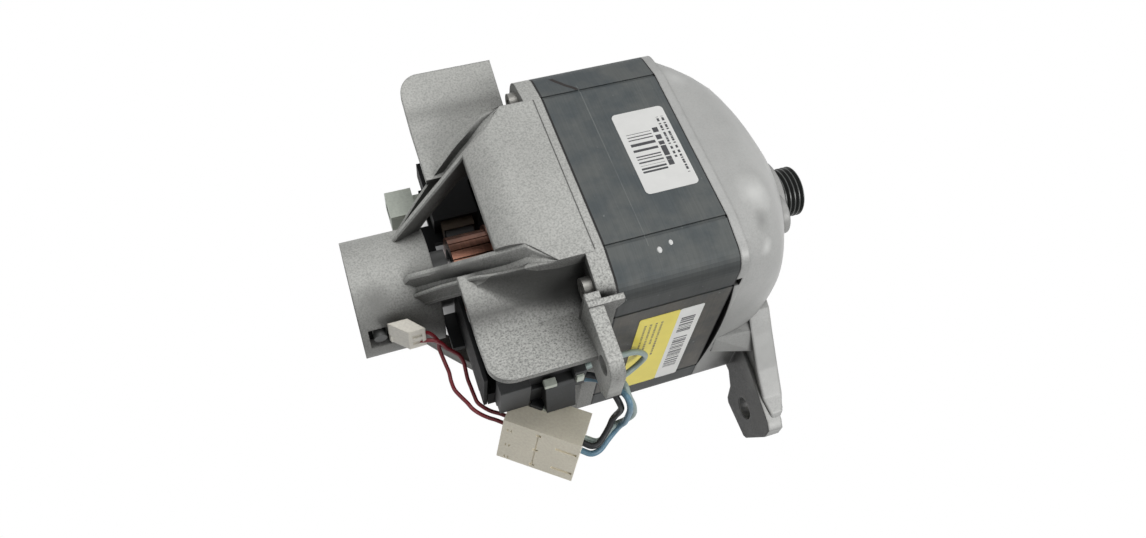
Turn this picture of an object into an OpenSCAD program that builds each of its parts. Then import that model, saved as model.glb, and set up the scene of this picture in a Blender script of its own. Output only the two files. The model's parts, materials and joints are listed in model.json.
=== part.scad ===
// Universal motor of a washing machine. The shaft lies along X and its drive end points to +X.
// The belt runs in the plane x = 0, and the top of the motor faces +Z.

/* [Stator stack] */
// Length of the lamination stack along the shaft
stack_l = 52; // [46:1:60]
// Width of the stack across the shaft
stack_w = 114; // [111:1:120]
// Height of the stack
stack_h = 122; // [119:1:128]
// Width of the flat between the two seams on top
stack_flat = 76; // [72:1:79]
// Slope of the shoulders beside the flat, in degrees
shoulder_slope = 15; // [11:1:18]
// Radius of the corners of the stack
corner_r = 10; // [8:0.5:12]
// Depth and width of the seams along the stack
seam = 0.8; // [0.4:0.1:1.2]
// Height of the side seams from the shaft
side_seam_z = 38; // [30:1:42]
// Width of a pole neck
neck_w = 40; // [36:1:42]
// Thickness of the yoke at the sides
yoke_side = 15; // [13:0.5:16]
// Thickness of the yoke above and below the coils
yoke_top = 15; // [13:0.5:16]
// Thickness of the pole shoes
shoe_t = 5; // [4:0.5:6]
// Half the angle that a pole shoe covers
shoe_angle = 60; // [54:1:64]

/* [Field coils] */
// Height of a field coil's winding
coil_h = 11; // [8:0.5:11.5]
// Overhang of the coil past each end of the stack
coil_over = 8; // [6:0.5:8]
// Thickness of the insulator between pole and coil
insulator_t = 1.6; // [1:0.1:2]

/* [Rotor] */
// Diameter of the armature
rotor_d = 64; // [60:0.5:65]
// Air gap between armature and pole shoes
air_gap = 0.5; // [0.4:0.05:0.8]
// Number of armature slots
rotor_slots = 12; // [8:1:16]
// Diameter of the round part of a slot
slot_d = 7; // [5:0.5:8]
// Width of the mouth of a slot
slot_mouth = 2; // [1.5:0.1:2.5]
// Diameter of the shaft in the armature
shaft_d = 16; // [15.5:0.5:18]
// Overhang of the armature winding past each end of the stack
winding_over = 15; // [10:0.5:18]
// Diameter of the commutator
commutator_d = 34; // [30:0.5:36]
// Length of the brush track on the commutator
commutator_l = 17.5; // [15:0.5:18.5]
// Number of commutator bars
commutator_bars_n = 24; // [12:1:36]
// Gap between commutator bars
bar_gap = 0.6; // [0.4:0.1:1]
// Radial height of a commutator bar
bar_h = 5; // [4:0.5:6]
// Distance from the stack to the commutator track
commutator_back = 32; // [30:0.5:33]

/* [Bearings] */
// Bore of the front bearing
front_bore = 15; // [12:0.5:15]
// Outer diameter of the front bearing
front_od = 35; // [33:0.5:36]
// Width of the front bearing
front_w = 11; // [10:0.5:12]
// Distance from the stack to the front bearing
front_back = 30; // [28:0.5:31]
// Bore of the rear bearing
rear_bore = 12; // [10:0.5:12]
// Outer diameter of the rear bearing
rear_od = 32; // [30:0.5:34]
// Width of the rear bearing
rear_w = 10; // [9:0.5:10.5]
// Number of balls in each bearing
ball_n = 8; // [6:1:9]
// Diameter of the balls
ball_d = 5.6; // [5:0.1:5.8]

/* [Pulley] */
// Outer diameter of the belt pulley
pulley_d = 24; // [21:0.5:28]
// Number of ribs of the belt pulley
pulley_ribs = 5; // [4:1:6]
// Pitch of the ribs
rib_pitch = 2.34; // [2.2:0.02:2.5]
// Depth of the grooves
rib_h = 2; // [1.4:0.1:2.4]
// Plain band beside the ribs at each end
pulley_edge = 0.35; // [0.2:0.05:1]
// Shaft diameter in the pulley
pulley_bore = 12; // [10:0.5:13]
// Gap between the pulley and the front hub
pulley_gap = 1; // [0.6:0.1:2]

/* [Front shield] */
// Depth of the front shield from the stack to the hub end
front_depth = 54; // [53:0.5:58]
// Thickness of the rim of the front shield
front_rim = 4; // [3:0.5:5]
// Depth of the dome of the front shield
dome_l = 45; // [44:0.5:46]
// Depth of the hollow in the side edges of the front shield
relief = 3.4; // [2:0.2:4]
// Wall of both shields
wall = 4; // [3:0.25:4.5]
// Diameter of the front hub
hub_d = 36; // [33:0.5:40]
// Diameter of the boss beside the front hub
boss_d = 18.6; // [16:0.2:20]
// Depth of the front shield at the end of that boss
boss_l = 46.5; // [45.5:0.5:50]
// Wall round the front bearing
seat_wall = 4.5; // [3.5:0.25:5]
// Diameter of the hole in the front foot
foot_hole_d = 10.8; // [9:0.2:11]
// Distance of the front foot hole from the shaft, sideways
foot_hole_y = 78.5; // [76:0.5:84]
// Distance of the front foot hole from the shaft, downwards
foot_hole_z = 56; // [54:0.5:60]
// Distance from the stack to the front foot
foot_back = 20; // [16:0.5:22]
// Thickness of the front foot
foot_t = 7; // [5:0.5:9]
// Wall round the hole of the front foot at its base
foot_margin = 16; // [14:0.5:18]

/* [Rear shield] */
// Thickness of the rim of the rear shield
rear_rim = 7.5; // [6:0.5:9]
// Length of the flat deck behind the stack
deck_flat_l = 24; // [20:0.5:26]
// Distance from the stack to the window edge of the deck
deck_l = 38; // [36:0.5:40]
// Drop of the deck at its window edge
deck_drop = 7; // [5:0.5:9]
// Outer diameter of the bearing tube
tube_d = 50.8; // [48:0.2:54]
// Distance from the stack to the front of the tube
tube_front = 59.3; // [57:0.1:61]
// Distance from the stack to the rear end of the tube
tube_back = 93.7; // [92:0.1:98]
// Height of the wings above the shaft
wing_z = 41; // [39:0.5:43]
// Rise of the wings from the fold to the outer edge
wing_rise = 6; // [2:0.5:8]
// Distance of the fold of the wings from the shaft
wing_fold = 52; // [50:0.5:56]
// Reach of the wings from the shaft
wing_reach = 74; // [68:0.5:74]
// Further reach of the wing on the far side
far_wing_more = 2.4; // [0:0.2:3]
// Thickness of the wings
wing_t = 3; // [2.5:0.25:4]
// Distance from the stack to the rear edge of the wings
wing_back = 53.5; // [51:0.5:55]
// Radius of the outer corners of the wings
wing_corner_r = 9; // [5:0.5:12]
// Diameter of the hole in the rear lug
lug_hole_d = 8; // [6:0.25:9]
// Distance of the rear lug hole from the shaft, sideways
lug_hole_y = 78.5; // [78:0.5:82]
// Distance of the rear lug hole from the shaft, upwards
lug_hole_z = 48.4; // [47:0.2:50]
// Thickness of the rear lug
lug_t = 6; // [5:0.5:8]
// Wall round the hole of the rear lug
lug_margin = 7.5; // [6.5:0.25:8]

/* [Screws] */
// Diameter of the clamp screws
screw_d = 5; // [4:0.5:5.5]
// Diameter of the heads of the clamp screws
screw_head_d = 9; // [8:0.5:10]
// Height of the heads of the clamp screws
screw_head_h = 3.6; // [3:0.2:5]
// Distance of the screws from the sides of the stack
screw_in_y = 9.5; // [9:0.25:10]
// Distance of the screws from the top and bottom of the stack
screw_in_z = 11; // [11:0.25:11.5]
// Length of thread in the front shield
screw_bite = 8; // [6:0.5:8.5]

/* [Brush gear] */
// Width of a brush along the shaft
brush_w = 12.6; // [10:0.2:13]
// Thickness of a brush along the turn
brush_t = 5.4; // [5:0.1:6]
// Travel of a brush against its spring
brush_travel = 8; // [5:0.5:8]
// Reach of the brush holders from the shaft
holder_reach = 60; // [58:0.5:61]
// Diameter of the brush spring
spring_d = 4.8; // [4.4:0.1:5]
// Wire diameter of the brush spring
spring_wire = 0.6; // [0.5:0.05:0.7]
// Number of curls of a brush spring
spring_curls = 9; // [6:1:10]

/* [Tacho and connectors] */
// Diameter of the tacho magnet
magnet_d = 22; // [18:0.5:23]
// Length of the tacho magnet
magnet_l = 8; // [6:0.5:9]
// Radial gap between tacho magnet and tacho coil
tacho_gap = 2; // [1:0.1:2.5]
// Length of the main connector
connector_l = 33; // [30:0.5:36]
// Depth of the main connector
connector_w = 18; // [16:0.5:19]
// Height of the main connector
connector_h = 23.5; // [21:0.5:25]
// Diameter of the red tacho wires
red_wire_d = 1.7; // [1.2:0.1:2]
// Diameter of the main leads
lead_d = 2.6; // [2:0.1:2.8]

/* [Hidden] */

// Clearances
fit = 0.1;
slack = 0.3;
eps = 0.01;

// Places along the shaft
pulley_w = pulley_ribs * rib_pitch + 2 * pulley_edge;
x_hub = -pulley_w / 2 - pulley_gap;
x_front = x_hub - front_depth;
x_rear = x_front - stack_l;
function ahead(t) = x_front + t;
function behind(t) = x_rear - t;

// Stack section
half_w = stack_w / 2;
half_h = stack_h / 2;
half_flat = stack_flat / 2;
bore_r = rotor_d / 2 + air_gap;
shoe_r = bore_r + shoe_t;
slot_y = half_w - yoke_side;
slot_z = half_h - yoke_top;
screw_y = half_w - screw_in_y;
screw_z = half_h - screw_in_z;
screw_hole_r = screw_d / 2 + 2 * fit;
corner_y = half_w - corner_r;
corner_z = half_h - (corner_r - (half_flat - corner_y) * sin(shoulder_slope)) / cos(shoulder_slope);
corner_steps = 8;

// Coils
coil_in = neck_w / 2 + insulator_t + 2 * fit;
coil_out = slot_y - 1;
coil_top = slot_z - slack;
coil_corner = 12;

// Rotor
shaft_r = shaft_d / 2;
commutator_r = commutator_d / 2;
riser_l = 2.5;
riser_h = 1.6;
commutator_mid = commutator_back + commutator_l / 2;
hub_r = commutator_r - bar_h;
collar_r = 12.5;
collar_back = commutator_back + commutator_l + 2;
rear_bearing_back = tube_front + 1.7;
washer_t = 0.6;
rear_shoulder = rear_bearing_back + rear_w + washer_t;
magnet_back = rear_shoulder + 6;
cap_t = 4;
tail_r = 4;
tacho_coil_t = 8;
tacho_lead_z = 7;
tacho_lead_back = 86.3;
tacho_lead_r = 3;

// Brush gear
tube_t = 0.6;
tube_w = brush_w + 2 * slack + 2 * tube_t;
tube_h = brush_t + 2 * slack + 2 * tube_t;
holder_w = tube_w + 6;
holder_h = tube_h + 3;
holder_in = commutator_r + riser_h + 3;
holder_wall = 2;
tube_proud = 5;
flange_t = 3;
flange_back = tube_front - 1.3;
spring_end = holder_reach - holder_wall - slack;
brush_end = spring_end - brush_travel - spring_curls * spring_wire - 1;
sleeve_y = 40;
sleeve_l = 12;
sleeve_w = 14;
sleeve_h = 12;
tab_l = 6;
tab_w = 8;
pad_back = rear_rim + 6.5;
pad_y = slot_y + 2;

// Main connector: the top corner at its front left, its turn in plan and its lean
connector_out = 10.2;
connector_corner = [behind(47.5), -holder_reach - connector_out, 0];
connector_turn = -36.9;
connector_lean = -18;
bracket_end = behind(12);
bracket_back = 48;
bracket_h = 17;
bracket_t = 7;

// Routes of the wires
red_outer_route = [
    [-184.5, -29.5, 13], [-180.5, -29, 10], [-177.5, -31, 5.5], [-177.5, -33, 2], [-177, -36, 0],
    [-176.5, -39.5, -1], [-176, -43, -2], [-176, -46, -4], [-175.5, -49.5, -5.5], [-174, -53, -5.5],
    [-172, -56.5, -6], [-170.5, -59, -7.5], [-168, -61.5, -9], [-165, -64, -9.5], [-162.5, -66, -9],
    [-159.5, -68.5, -9]
];
red_inner_route = [
    [-184.5, -31, 9], [-179.5, -32.5, 9.5], [-176.5, -33.5, 7], [-174.5, -35, 4], [-172, -36.5, 2],
    [-170, -38, 0], [-169, -40.5, -2], [-169, -43.5, -4], [-169, -46.5, -6], [-168.5, -49.5, -8],
    [-168, -53, -9.5], [-167.5, -56, -10], [-165.5, -59, -10], [-163, -61.5, -10], [-160, -63.5, -10],
    [-157.5, -65.5, -10]
];
black_route = [
    [-132, -86.5, -6.5], [-129, -89, -6.5], [-126, -89, -6.5], [-123, -87, -5.5], [-120, -84.5, -4],
    [-118, -82.5, -2], [-116.5, -82, 1], [-116, -82.5, 4.5], [-115.5, -82.5, 8.5], [-116.5, -81.5, 12.5],
    [-117.5, -79, 14.5], [-118, -75.5, 14.5], [-119, -72, 13.5], [-120.5, -69, 12.5], [-122.5, -67, 11.5],
    [-125, -65.5, 11]
];
blue_route = [
    [-132.5, -88, -11.5], [-129, -90.5, -11.5], [-125, -90, -11.5], [-120.5, -87, -11], [-117, -85, -9.5],
    [-115, -84.5, -6], [-113.5, -85, -1.5], [-113, -85, 4], [-113, -85, 10.5], [-113.5, -84, 15.5],
    [-114, -81.5, 17], [-114.5, -78, 14.5], [-115.5, -74, 10.5], [-118, -70.5, 8.5], [-121, -67.5, 8],
    [-125, -65.5, 7]
];
grey_route = [
    [-130, -84, -9.5], [-124.5, -87, -9.5], [-117.5, -83.5, -7], [-112.5, -83.5, -4], [-110, -84, 2],
    [-110.5, -83, 8.5], [-112, -80, 13], [-112, -76, 14], [-111.5, -72.5, 10], [-110.5, -69, 3],
    [-108, -65.5, -4], [-103.5, -63, -8], [-98, -61, -7], [-95, -60.5, -1.5], [-97, -61, 4.5],
    [-101.5, -61, 8.5], [-107.5, -61.5, 10.5], [-113.5, -61.5, 13], [-119, -63, 15], [-125, -64, 15]
];

// Helpers

// Extrudes a section drawn in Y and Z from x0 to x1
module along_x(x0, x1) {
    translate([min(x0, x1), 0, 0])
        rotate([90, 0, 90])
            linear_extrude(abs(x1 - x0)) children();
}

// Extrudes a section drawn in X and Z from y0 to y1
module along_y(y0, y1) {
    translate([0, max(y0, y1), 0])
        rotate([90, 0, 0])
            linear_extrude(abs(y1 - y0)) children();
}

// Turns a profile drawn in radius and X round the shaft
module about_x() {
    rotate([0, 90, 0])
        rotate_extrude($fn = 96) children();
}

// Round bar on the shaft axis
module bar_x(x0, x1, r) {
    translate([min(x0, x1), 0, 0])
        rotate([0, 90, 0])
            cylinder(h = abs(x1 - x0), r = r, $fn = 64);
}

// Ring round the shaft
module ring_x(x0, x1, r_out, r_in) {
    difference() {
        bar_x(x0, x1, r_out);
        bar_x(min(x0, x1) - 1, max(x0, x1) + 1, r_in);
    }
}

// Joins rings of points, all of one length, into a closed skin
module skin(rings) {
    n = len(rings[0]);
    m = len(rings);
    points = [for (ring = rings) each ring];
    sides = [
        for (i = [0 : m - 2], j = [0 : n - 1])
            let (k = (j + 1) % n, a = i * n, b = a + n)
                each [[a + j, b + k, a + k], [a + j, b + j, b + k]]
    ];
    caps = [[for (j = [0 : n - 1]) j], [for (j = [n - 1 : -1 : 0]) (m - 1) * n + j]];
    polyhedron(points, concat(sides, caps), convexity = 8);
}

function unit(v) = v / norm(v);
function direction(path, i) = unit(path[min(i + 1, len(path) - 1)] - path[max(i - 1, 0)]);

// Ring of points round one point of a route
function tube_ring(p, d, r, sides) =
    let (side = unit(cross(d, abs(d[2]) < 0.9 ? [0, 0, 1] : [1, 0, 0])), up = cross(side, d))
        [for (j = [0 : sides - 1]) let (a = -j * 360 / sides) p + r * (cos(a) * side + sin(a) * up)];

// Round wire along a route
module wire(route, d, sides = 8) {
    skin([for (i = [0 : len(route) - 1]) tube_ring(route[i], direction(route, i), d / 2, sides)]);
}

module four_corners() {
    for (y = [-1, 1], z = [-1, 1])
        translate([0, y * screw_y, z * screw_z]) children();
}

// Stator

function stack_quarter() = concat(
    [[half_flat, half_h]],
    [
        for (i = [0 : corner_steps])
            let (a = (90 - shoulder_slope) * (1 - i / corner_steps))
                [corner_y + corner_r * cos(a), corner_z + corner_r * sin(a)]
    ]
);

function backwards(list) = [for (i = [len(list) - 1 : -1 : 0]) list[i]];
function flip(list, y, z) = [for (p = list) [p[0] * y, p[1] * z]];

module stack_outline() {
    q = stack_quarter();
    polygon(concat(q, backwards(flip(q, 1, -1)), flip(q, -1, -1), backwards(flip(q, -1, 1))));
}

// Sector that a pole shoe covers, for the upper pole
module shoe_sector() {
    far = 2 * half_h;
    s = far * sin(shoe_angle);
    c = far * cos(shoe_angle);
    polygon([[0, 0], [s, c], [s, far], [-s, far], [-s, c]]);
}

// Room for the armature and the coils in the stack
module slot_space() {
    circle(r = bore_r, $fn = 128);
    difference() {
        square([2 * slot_y, 2 * slot_z], center = true);
        square([neck_w, 2 * slot_z + 1], center = true);
        for (m = [0, 1])
            mirror([0, m])
                intersection() {
                    circle(r = shoe_r, $fn = 128);
                    shoe_sector();
                }
    }
}

module seam_cuts() {
    for (y = [-1, 1], z = [-1, 1]) {
        translate([y * half_flat, z * half_h]) square(2 * seam, center = true);
        translate([y * half_w, z * side_seam_z]) square(2 * seam, center = true);
    }
}

module stator_stack() {
    color("dimgray")
        difference() {
            along_x(x_rear, x_front)
                difference() {
                    stack_outline();
                    slot_space();
                    seam_cuts();
                }
            four_corners() bar_x(x_rear - 1, x_front + 1, screw_hole_r);
        }
}

// Racetrack in plan round a pole, for a coil or its insulator
module pole_loop(half_y, over, r) {
    x0 = x_rear - over + r;
    x1 = x_front + over - r;
    for (x = [x0, x1], y = [-1, 1])
        translate([x, y * (half_y - r)]) circle(r = r, $fn = 64);
    translate([x0 - r, -half_y + r]) square([x1 - x0 + 2 * r, 2 * half_y - 2 * r]);
    translate([x0, -half_y]) square([x1 - x0, 2 * half_y]);
}

// Room of a pole shoe, which the coil and its insulator keep clear of
module shoe_room() {
    bar_x(x_rear - fit / 2, x_front + fit / 2, shoe_r + slack);
}

module field_coil() {
    difference() {
        translate([0, 0, coil_top - coil_h])
            linear_extrude(coil_h)
                difference() {
                    pole_loop(coil_out, coil_over, coil_corner);
                    pole_loop(coil_in, insulator_t + 2 * fit + fit, 2);
                }
        shoe_room();
    }
}

module coil_insulator() {
    difference() {
        translate([0, 0, coil_top - coil_h - fit])
            linear_extrude(coil_h + fit)
                difference() {
                    pole_loop(coil_in - fit, insulator_t + 2 * fit, 2);
                    translate([x_rear - fit, -neck_w / 2 - fit])
                        square([stack_l + 2 * fit, neck_w + 2 * fit]);
                }
        shoe_room();
    }
}

module field_coil_upper() {
    color("saddlebrown") field_coil();
}

module field_coil_lower() {
    color("saddlebrown") mirror([0, 0, 1]) field_coil();
}

module coil_insulator_upper() {
    color("ivory") coil_insulator();
}

module coil_insulator_lower() {
    color("ivory") mirror([0, 0, 1]) coil_insulator();
}

// Front shield

dome_sides = 72;

// Shape of the dome: part of its depth, part of its half width, squareness of the section
dome_curve = [
    [0, 0.99, 7.5], [0.1, 0.985, 6], [0.2, 0.98, 5], [0.34, 0.97, 3.9], [0.42, 0.96, 3.5], [0.49, 0.94, 3.24],
    [0.56, 0.91, 3.2], [0.63, 0.875, 2.95], [0.71, 0.835, 2.5], [0.78, 0.78, 2.26], [0.85, 0.71, 2.14],
    [0.93, 0.625, 2.05], [1, 0.525, 2]
];
function dome_x(s) = ahead(front_rim + s * (dome_l - front_rim));

function dome_ring(s) = [
    for (i = [0 : dome_sides - 1])
        let (
            a = 360 * i / dome_sides,
            n = s[2],
            y = s[1] * half_w,
            z = s[1] * (half_h + (half_w - half_h) * s[0]),
            r = pow(pow(abs(cos(a)) / y, n) + pow(abs(sin(a)) / z, n), -1 / n)
        )
            [dome_x(s[0]), r * cos(a), r * sin(a)]
];

// Room inside the dome
module dome_room() {
    points = [for (s = dome_curve) if (s[0] < 0.9) [s[1] * half_w - wall, dome_x(s[0]) - wall / 2]];
    about_x()
        polygon(concat(
            [[0, ahead(-1)], [half_w - wall, ahead(-1)]],
            points,
            [[0, points[len(points) - 1][1]]]
        ));
}

module front_foot_section() {
    y0 = half_w + 1;
    y = -foot_hole_y;
    z = -foot_hole_z;
    m = foot_margin;
    polygon([
        [-y0 + 14, -24], [-y0 + 14, -half_h + 8], [-y0 - 1, -half_h + 7], [y + 14, z - 4.5],
        [y + 12, z - m + 2], [y + 10, z - m], [y - 8, z - m], [y - 10, z - m + 2],
        [y - 18, z + 8], [y - 18, z + 15], [y - 15, z + 18], [y + 6, z + 25]
    ]);
}

// Rib in front of the foot plate, from the dome to the tip
module front_foot_rib() {
    y = -foot_hole_y;
    z = -foot_hole_z;
    polygon([
        [-half_w + 14, -2], [-half_w + 4.5, -5.5], [-half_w - 3.5, -13.5], [y + 5.5, z + 31],
        [y - 6.5, z + 18], [y - 9.5, z + 16], [y - 10.5, z + 10], [y - 8, z + 7], [y + 12, z + 8],
        [-half_w + 14, -40]
    ]);
}

module front_shield_outside() {
    along_x(ahead(0), ahead(front_rim + eps)) stack_outline();
    skin([for (s = dome_curve) dome_ring(s)]);
    bar_x(ahead(dome_l - 4), x_hub, hub_d / 2);
    translate([0, -19, 16.2]) bar_x(ahead(dome_l - 7), ahead(boss_l), boss_d / 2);
    along_x(ahead(0), ahead(foot_back + eps))
        intersection() {
            stack_outline();
            translate([-half_w - 1, -half_h - 1]) square([26, 42]);
        }
    along_x(ahead(foot_back), ahead(foot_back + foot_t)) front_foot_section();
    along_x(ahead(foot_back + foot_t - eps), ahead(foot_back + foot_t + 4)) front_foot_rib();
}

module front_shield() {
    seat_r = front_od / 2;
    bearing_x = ahead(front_back);
    relief_r = 230;
    color("silver")
        difference() {
            union() {
                difference() {
                    front_shield_outside();
                    dome_room();
                    along_x(ahead(-1), ahead(coil_over + 1.5))
                        square([2 * slot_y + 2, 2 * slot_z + 2], center = true);
                    translate([ahead(relief) - relief_r, 0, 0])
                        rotate([90, 0, 0])
                            cylinder(h = 2 * half_w + 20, r = relief_r, center = true, $fn = 96);
                }
                bar_x(bearing_x - 2, ahead(dome_l - 1), seat_r + seat_wall);
            }
            bar_x(bearing_x - 3, bearing_x + front_w, seat_r + fit / 2);
            bar_x(bearing_x, x_hub + 1, front_bore / 2 + 2.5);
            bar_x(x_hub - 5, x_hub + 1, front_bore / 2 + 5);
            four_corners() bar_x(ahead(-1), ahead(screw_bite), screw_hole_r);
            translate([ahead(-1), -half_w - 1, side_seam_z - 1]) cube([3.6, 4, 5.5]);
            translate([0, -foot_hole_y, -foot_hole_z])
                bar_x(ahead(foot_back - 1), ahead(foot_back + foot_t + 5), foot_hole_d / 2);
        }
}

// Rear shield

deck_t = wall;
wall_y = half_flat + 1;
deck_steps = 8;
tube_r = tube_d / 2;

// Height of the deck at a distance behind the stack
function deck_z(t) = half_h - deck_drop * pow(max(0, t - deck_flat_l) / (deck_l - deck_flat_l), 2);

function deck_line(down) = concat(
    [[behind(rear_rim / 2), half_h - down]],
    [
        for (i = [0 : deck_steps])
            let (t = deck_flat_l + (deck_l - deck_flat_l) * i / deck_steps)
                [behind(t), deck_z(t) - down]
    ]
);

// Half plan of the deck, which narrows where the arms begin
function deck_side() = [
    [behind(rear_rim / 2), wall_y - 0.4], [behind(18), wall_y - 0.4], [behind(28), wall_y - 11.2],
    [behind(deck_l + 1), wall_y - 15.9]
];

module deck() {
    intersection() {
        along_y(-wall_y, wall_y)
            polygon(concat(deck_line(0), backwards(deck_line(deck_t))));
        linear_extrude(2 * half_h)
            polygon(concat(deck_side(), backwards(flip(deck_side(), 1, -1))));
    }
}

// Side walls under the lower deck
module lower_walls() {
    low = half_h - 14;
    for (y = [-wall_y, wall_y - wall])
        along_y(y, y + wall)
            polygon([
                [behind(rear_rim / 2), half_h - 0.5], [behind(20), half_h - 0.5], [behind(30), half_h - 7],
                [behind(30), low], [behind(rear_rim / 2), low]
            ]);
}

// Ridge lines of an arm: sideways place and height, inner and outer, at a distance behind the stack
function inner_y(t) = lookup(t, [[18, wall_y - 0.8], [28, wall_y - 12], [tube_front + 11, tube_r - 16.4]]);
function inner_z(t) = lookup(t, [
    [18, half_h - 0.5], [28, half_h - 0.7], [tube_front + 11, tube_r + 1.6], [tube_front + 13, tube_r - 2]
]);
function outer_y(t) = lookup(t, [
    [18, wall_y], [26, wall_y - 1], [39, wall_y - 6], [47, wall_y - 10.5],
    [tube_front, tube_r - 3.4], [tube_front + 13, tube_r - 10.4]
]);
function outer_z(t) = lookup(t, [
    [18, half_h - 0.5], [26, half_h - 2], [39, half_h - 11], [47, half_h - 17],
    [tube_front, tube_r + 6.6], [tube_front + 7, tube_r - 1.4], [tube_front + 13, tube_r - 8.4]
]);

// Foot of the scoop on the wing
function scoop_y(t) = t > 51 ? outer_y(t) + 0.8 : lookup(t, [
    [13, wing_fold + 0.4], [31, wing_fold - 2.5], [41, wing_fold - 12], [49, wing_fold - 22.5]
]);
scoop_steps = 8;

// Section of an arm, with or without the scoop down to the wing
function arm_section(t, scoop) =
    let (
        x = behind(t), yi = inner_y(t), zi = inner_z(t), yo = outer_y(t), zo = outer_z(t),
        w = min(1, (yo - yi) / 8), yb = scoop ? scoop_y(t) : yo + 0.8,
        zb = scoop ? min(wing_z, zo - lookup(t, [[47, 3], [52, 7]])) : zo - 7,
        hollow = lookup(t, [[20, 0], [28, 1.5], [34, 3.2], [50, 4], [60, 3]]),
        clear = scoop && t < coil_over + 2, yin = min(yo - 4, yi), low = min(zb - 2, zi - 12), high = zi - 9
    ) concat(
        [
            [x, yi, high], [x, yi, zi - 0.8], [x, yi + 0.8 * w, zi], [x, yi + 2.2 * w, zi],
            [x, yi + 3 * w, zi - 0.8],
            [x, yi + 0.46 * (yo - yi), zi + 0.46 * (zo - zi) - 0.8 * w - hollow],
            [x, yi + 0.7 * (yo - yi), zi + 0.7 * (zo - zi) - 0.8 * w - hollow],
            [x, yo - 1.6 * w, zo - 0.3], [x, yo - 0.5 * w, zo], [x, yo, zo - 0.6]
        ],
        [
            for (i = [1 : scoop_steps])
                let (a = 90 * i / scoop_steps)
                    [x, yb - (yb - yo) * cos(a), zo - 0.6 - (zo - 0.6 - zb) * sin(a)]
        ],
        [
            [x, yb, zb - 2], [x, clear ? slot_y + 0.5 : yin, clear ? zb - 2 : low],
            [x, clear ? slot_y + 0.5 : yin + 0.3, clear ? slot_z + 0.3 : (low + high) / 2],
            [x, yin + 0.2, high - 0.5]
        ]
    );

module arm(stations, scoop) {
    skin([for (t = stations) arm_section(t, scoop)]);
}

// Distances behind the stack at which the sections of the arms lie
arm_end = [for (t = [-4, 0, 4, 7, 11, 13]) tube_front + t];
lower_arm = concat([18, 22, 26, 28, 34, 39, 43, 47, 51.5], arm_end);
upper_arm = concat(
    [rear_rim - 0.5, coil_over + 1.5, coil_over + 2.5],
    [13, 18, 22, 26, 28, 31, 34, 37.5, 41, 44, 47, 49, 51.5],
    arm_end
);

// Section of a wing on the +Y side
function wing_low(y) = wing_z + wing_rise * max(0, y - wing_fold) / (wing_reach - wing_fold);

module wing_section(y_in, reach) {
    polygon([
        [y_in, wing_low(y_in)], [wing_fold, wing_low(wing_fold)], [reach, wing_low(reach)],
        [reach, wing_low(reach) - wing_t], [wing_fold + 0.5, wing_low(wing_fold) - wing_t],
        [y_in, wing_low(y_in) - wing_t]
    ]);
}

// Plan of a wing on the +Y side, with a round outer corner
module wing_plan(front, reach) {
    x0 = behind(wing_back);
    r = wing_corner_r;
    translate([x0 + r, reach - r]) circle(r = r, $fn = 64);
    polygon([
        [x0, wall_y - 15], [behind(44), wall_y - 15], [behind(34), slot_y - 2], [behind(31), slot_y + 1],
        [behind(front), slot_y + 1], [behind(front), reach], [x0 + r, reach], [x0, reach - r]
    ]);
}

// Wing from its front end to its rear edge
module wing(front, reach) {
    intersection() {
        along_x(behind(wing_back + 1), behind(front - 1)) wing_section(wall_y - 17, reach);
        linear_extrude(half_h) wing_plan(front, reach);
    }
}

// Mounting lug at the upper near corner, with a tab along the stack
module rear_lug_section() {
    m = lug_margin;
    translate([-lug_hole_y, lug_hole_z]) circle(r = m, $fn = 64);
    polygon([
        [-lug_hole_y - m, lug_hole_z], [-lug_hole_y - m, lug_hole_z - 14],
        [-lug_hole_y - m + 4, lug_hole_z - 17], [-half_w + 3, wing_z - 5], [-half_w + 3, half_h - 2],
        [-lug_hole_y + 1, lug_hole_z + m]
    ]);
}

module rear_lug_tab() {
    x = behind(rear_rim);
    z = half_h - 2;
    along_y(-half_w - slack - 2.5, -half_w - slack)
        polygon([[x - lug_t, z], [x + 8.5, z], [x + 8.5, z - 3], [x, z - 15], [x - lug_t, z - 15]]);
}

module rear_shield_outside() {
    along_x(behind(0), behind(rear_rim))
        difference() {
            stack_outline();
            square([2 * slot_y, 2 * slot_z], center = true);
        }
    for (m = [0, 1])
        mirror([0, 0, m]) {
            deck();
            for (s = [0, 1]) mirror([0, s, 0]) arm(m == 0 ? upper_arm : lower_arm, m == 0);
        }
    mirror([0, 0, 1]) lower_walls();
    wing(rear_rim + 3.5, wing_reach + far_wing_more);
    mirror([0, 1, 0]) wing(rear_rim, wing_reach);
    bar_x(behind(tube_front), behind(tube_back), tube_r);
    along_x(behind(rear_rim), behind(rear_rim + lug_t)) rear_lug_section();
    rear_lug_tab();
    for (s = [0, 1])
        mirror([0, s, 0])
            translate([behind(pad_back), pad_y, -holder_h / 2 - 2])
                cube([pad_back - rear_rim + 1, half_w - pad_y - 1, holder_h + 4]);
}

module rear_shield() {
    seat_r = rear_od / 2;
    cavity_r = magnet_d / 2 + tacho_gap + tacho_coil_t;
    color("lightgray")
        difference() {
            rear_shield_outside();
            bar_x(behind(tube_front - 1), behind(rear_shoulder), seat_r + fit / 2);
            bar_x(behind(tube_front), behind(tube_back + 1), rear_bore / 2 + 3);
            bar_x(behind(rear_shoulder + 4), behind(tube_back + 1), cavity_r);
            translate([behind(tacho_lead_back + 4.5), -tube_r - 1, tacho_lead_z - 5])
                cube([8.5, tube_r - 14, 10]);
            translate([behind(3.7), -half_flat, half_h - 0.3]) cube([0.5, stack_flat, 1]);
            four_corners() bar_x(behind(-1), behind(rear_rim + 1), screw_hole_r);
            translate([0, -lug_hole_y, lug_hole_z])
                bar_x(behind(rear_rim - 1), behind(rear_rim + lug_t + 1), lug_hole_d / 2);
        }
}

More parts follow.
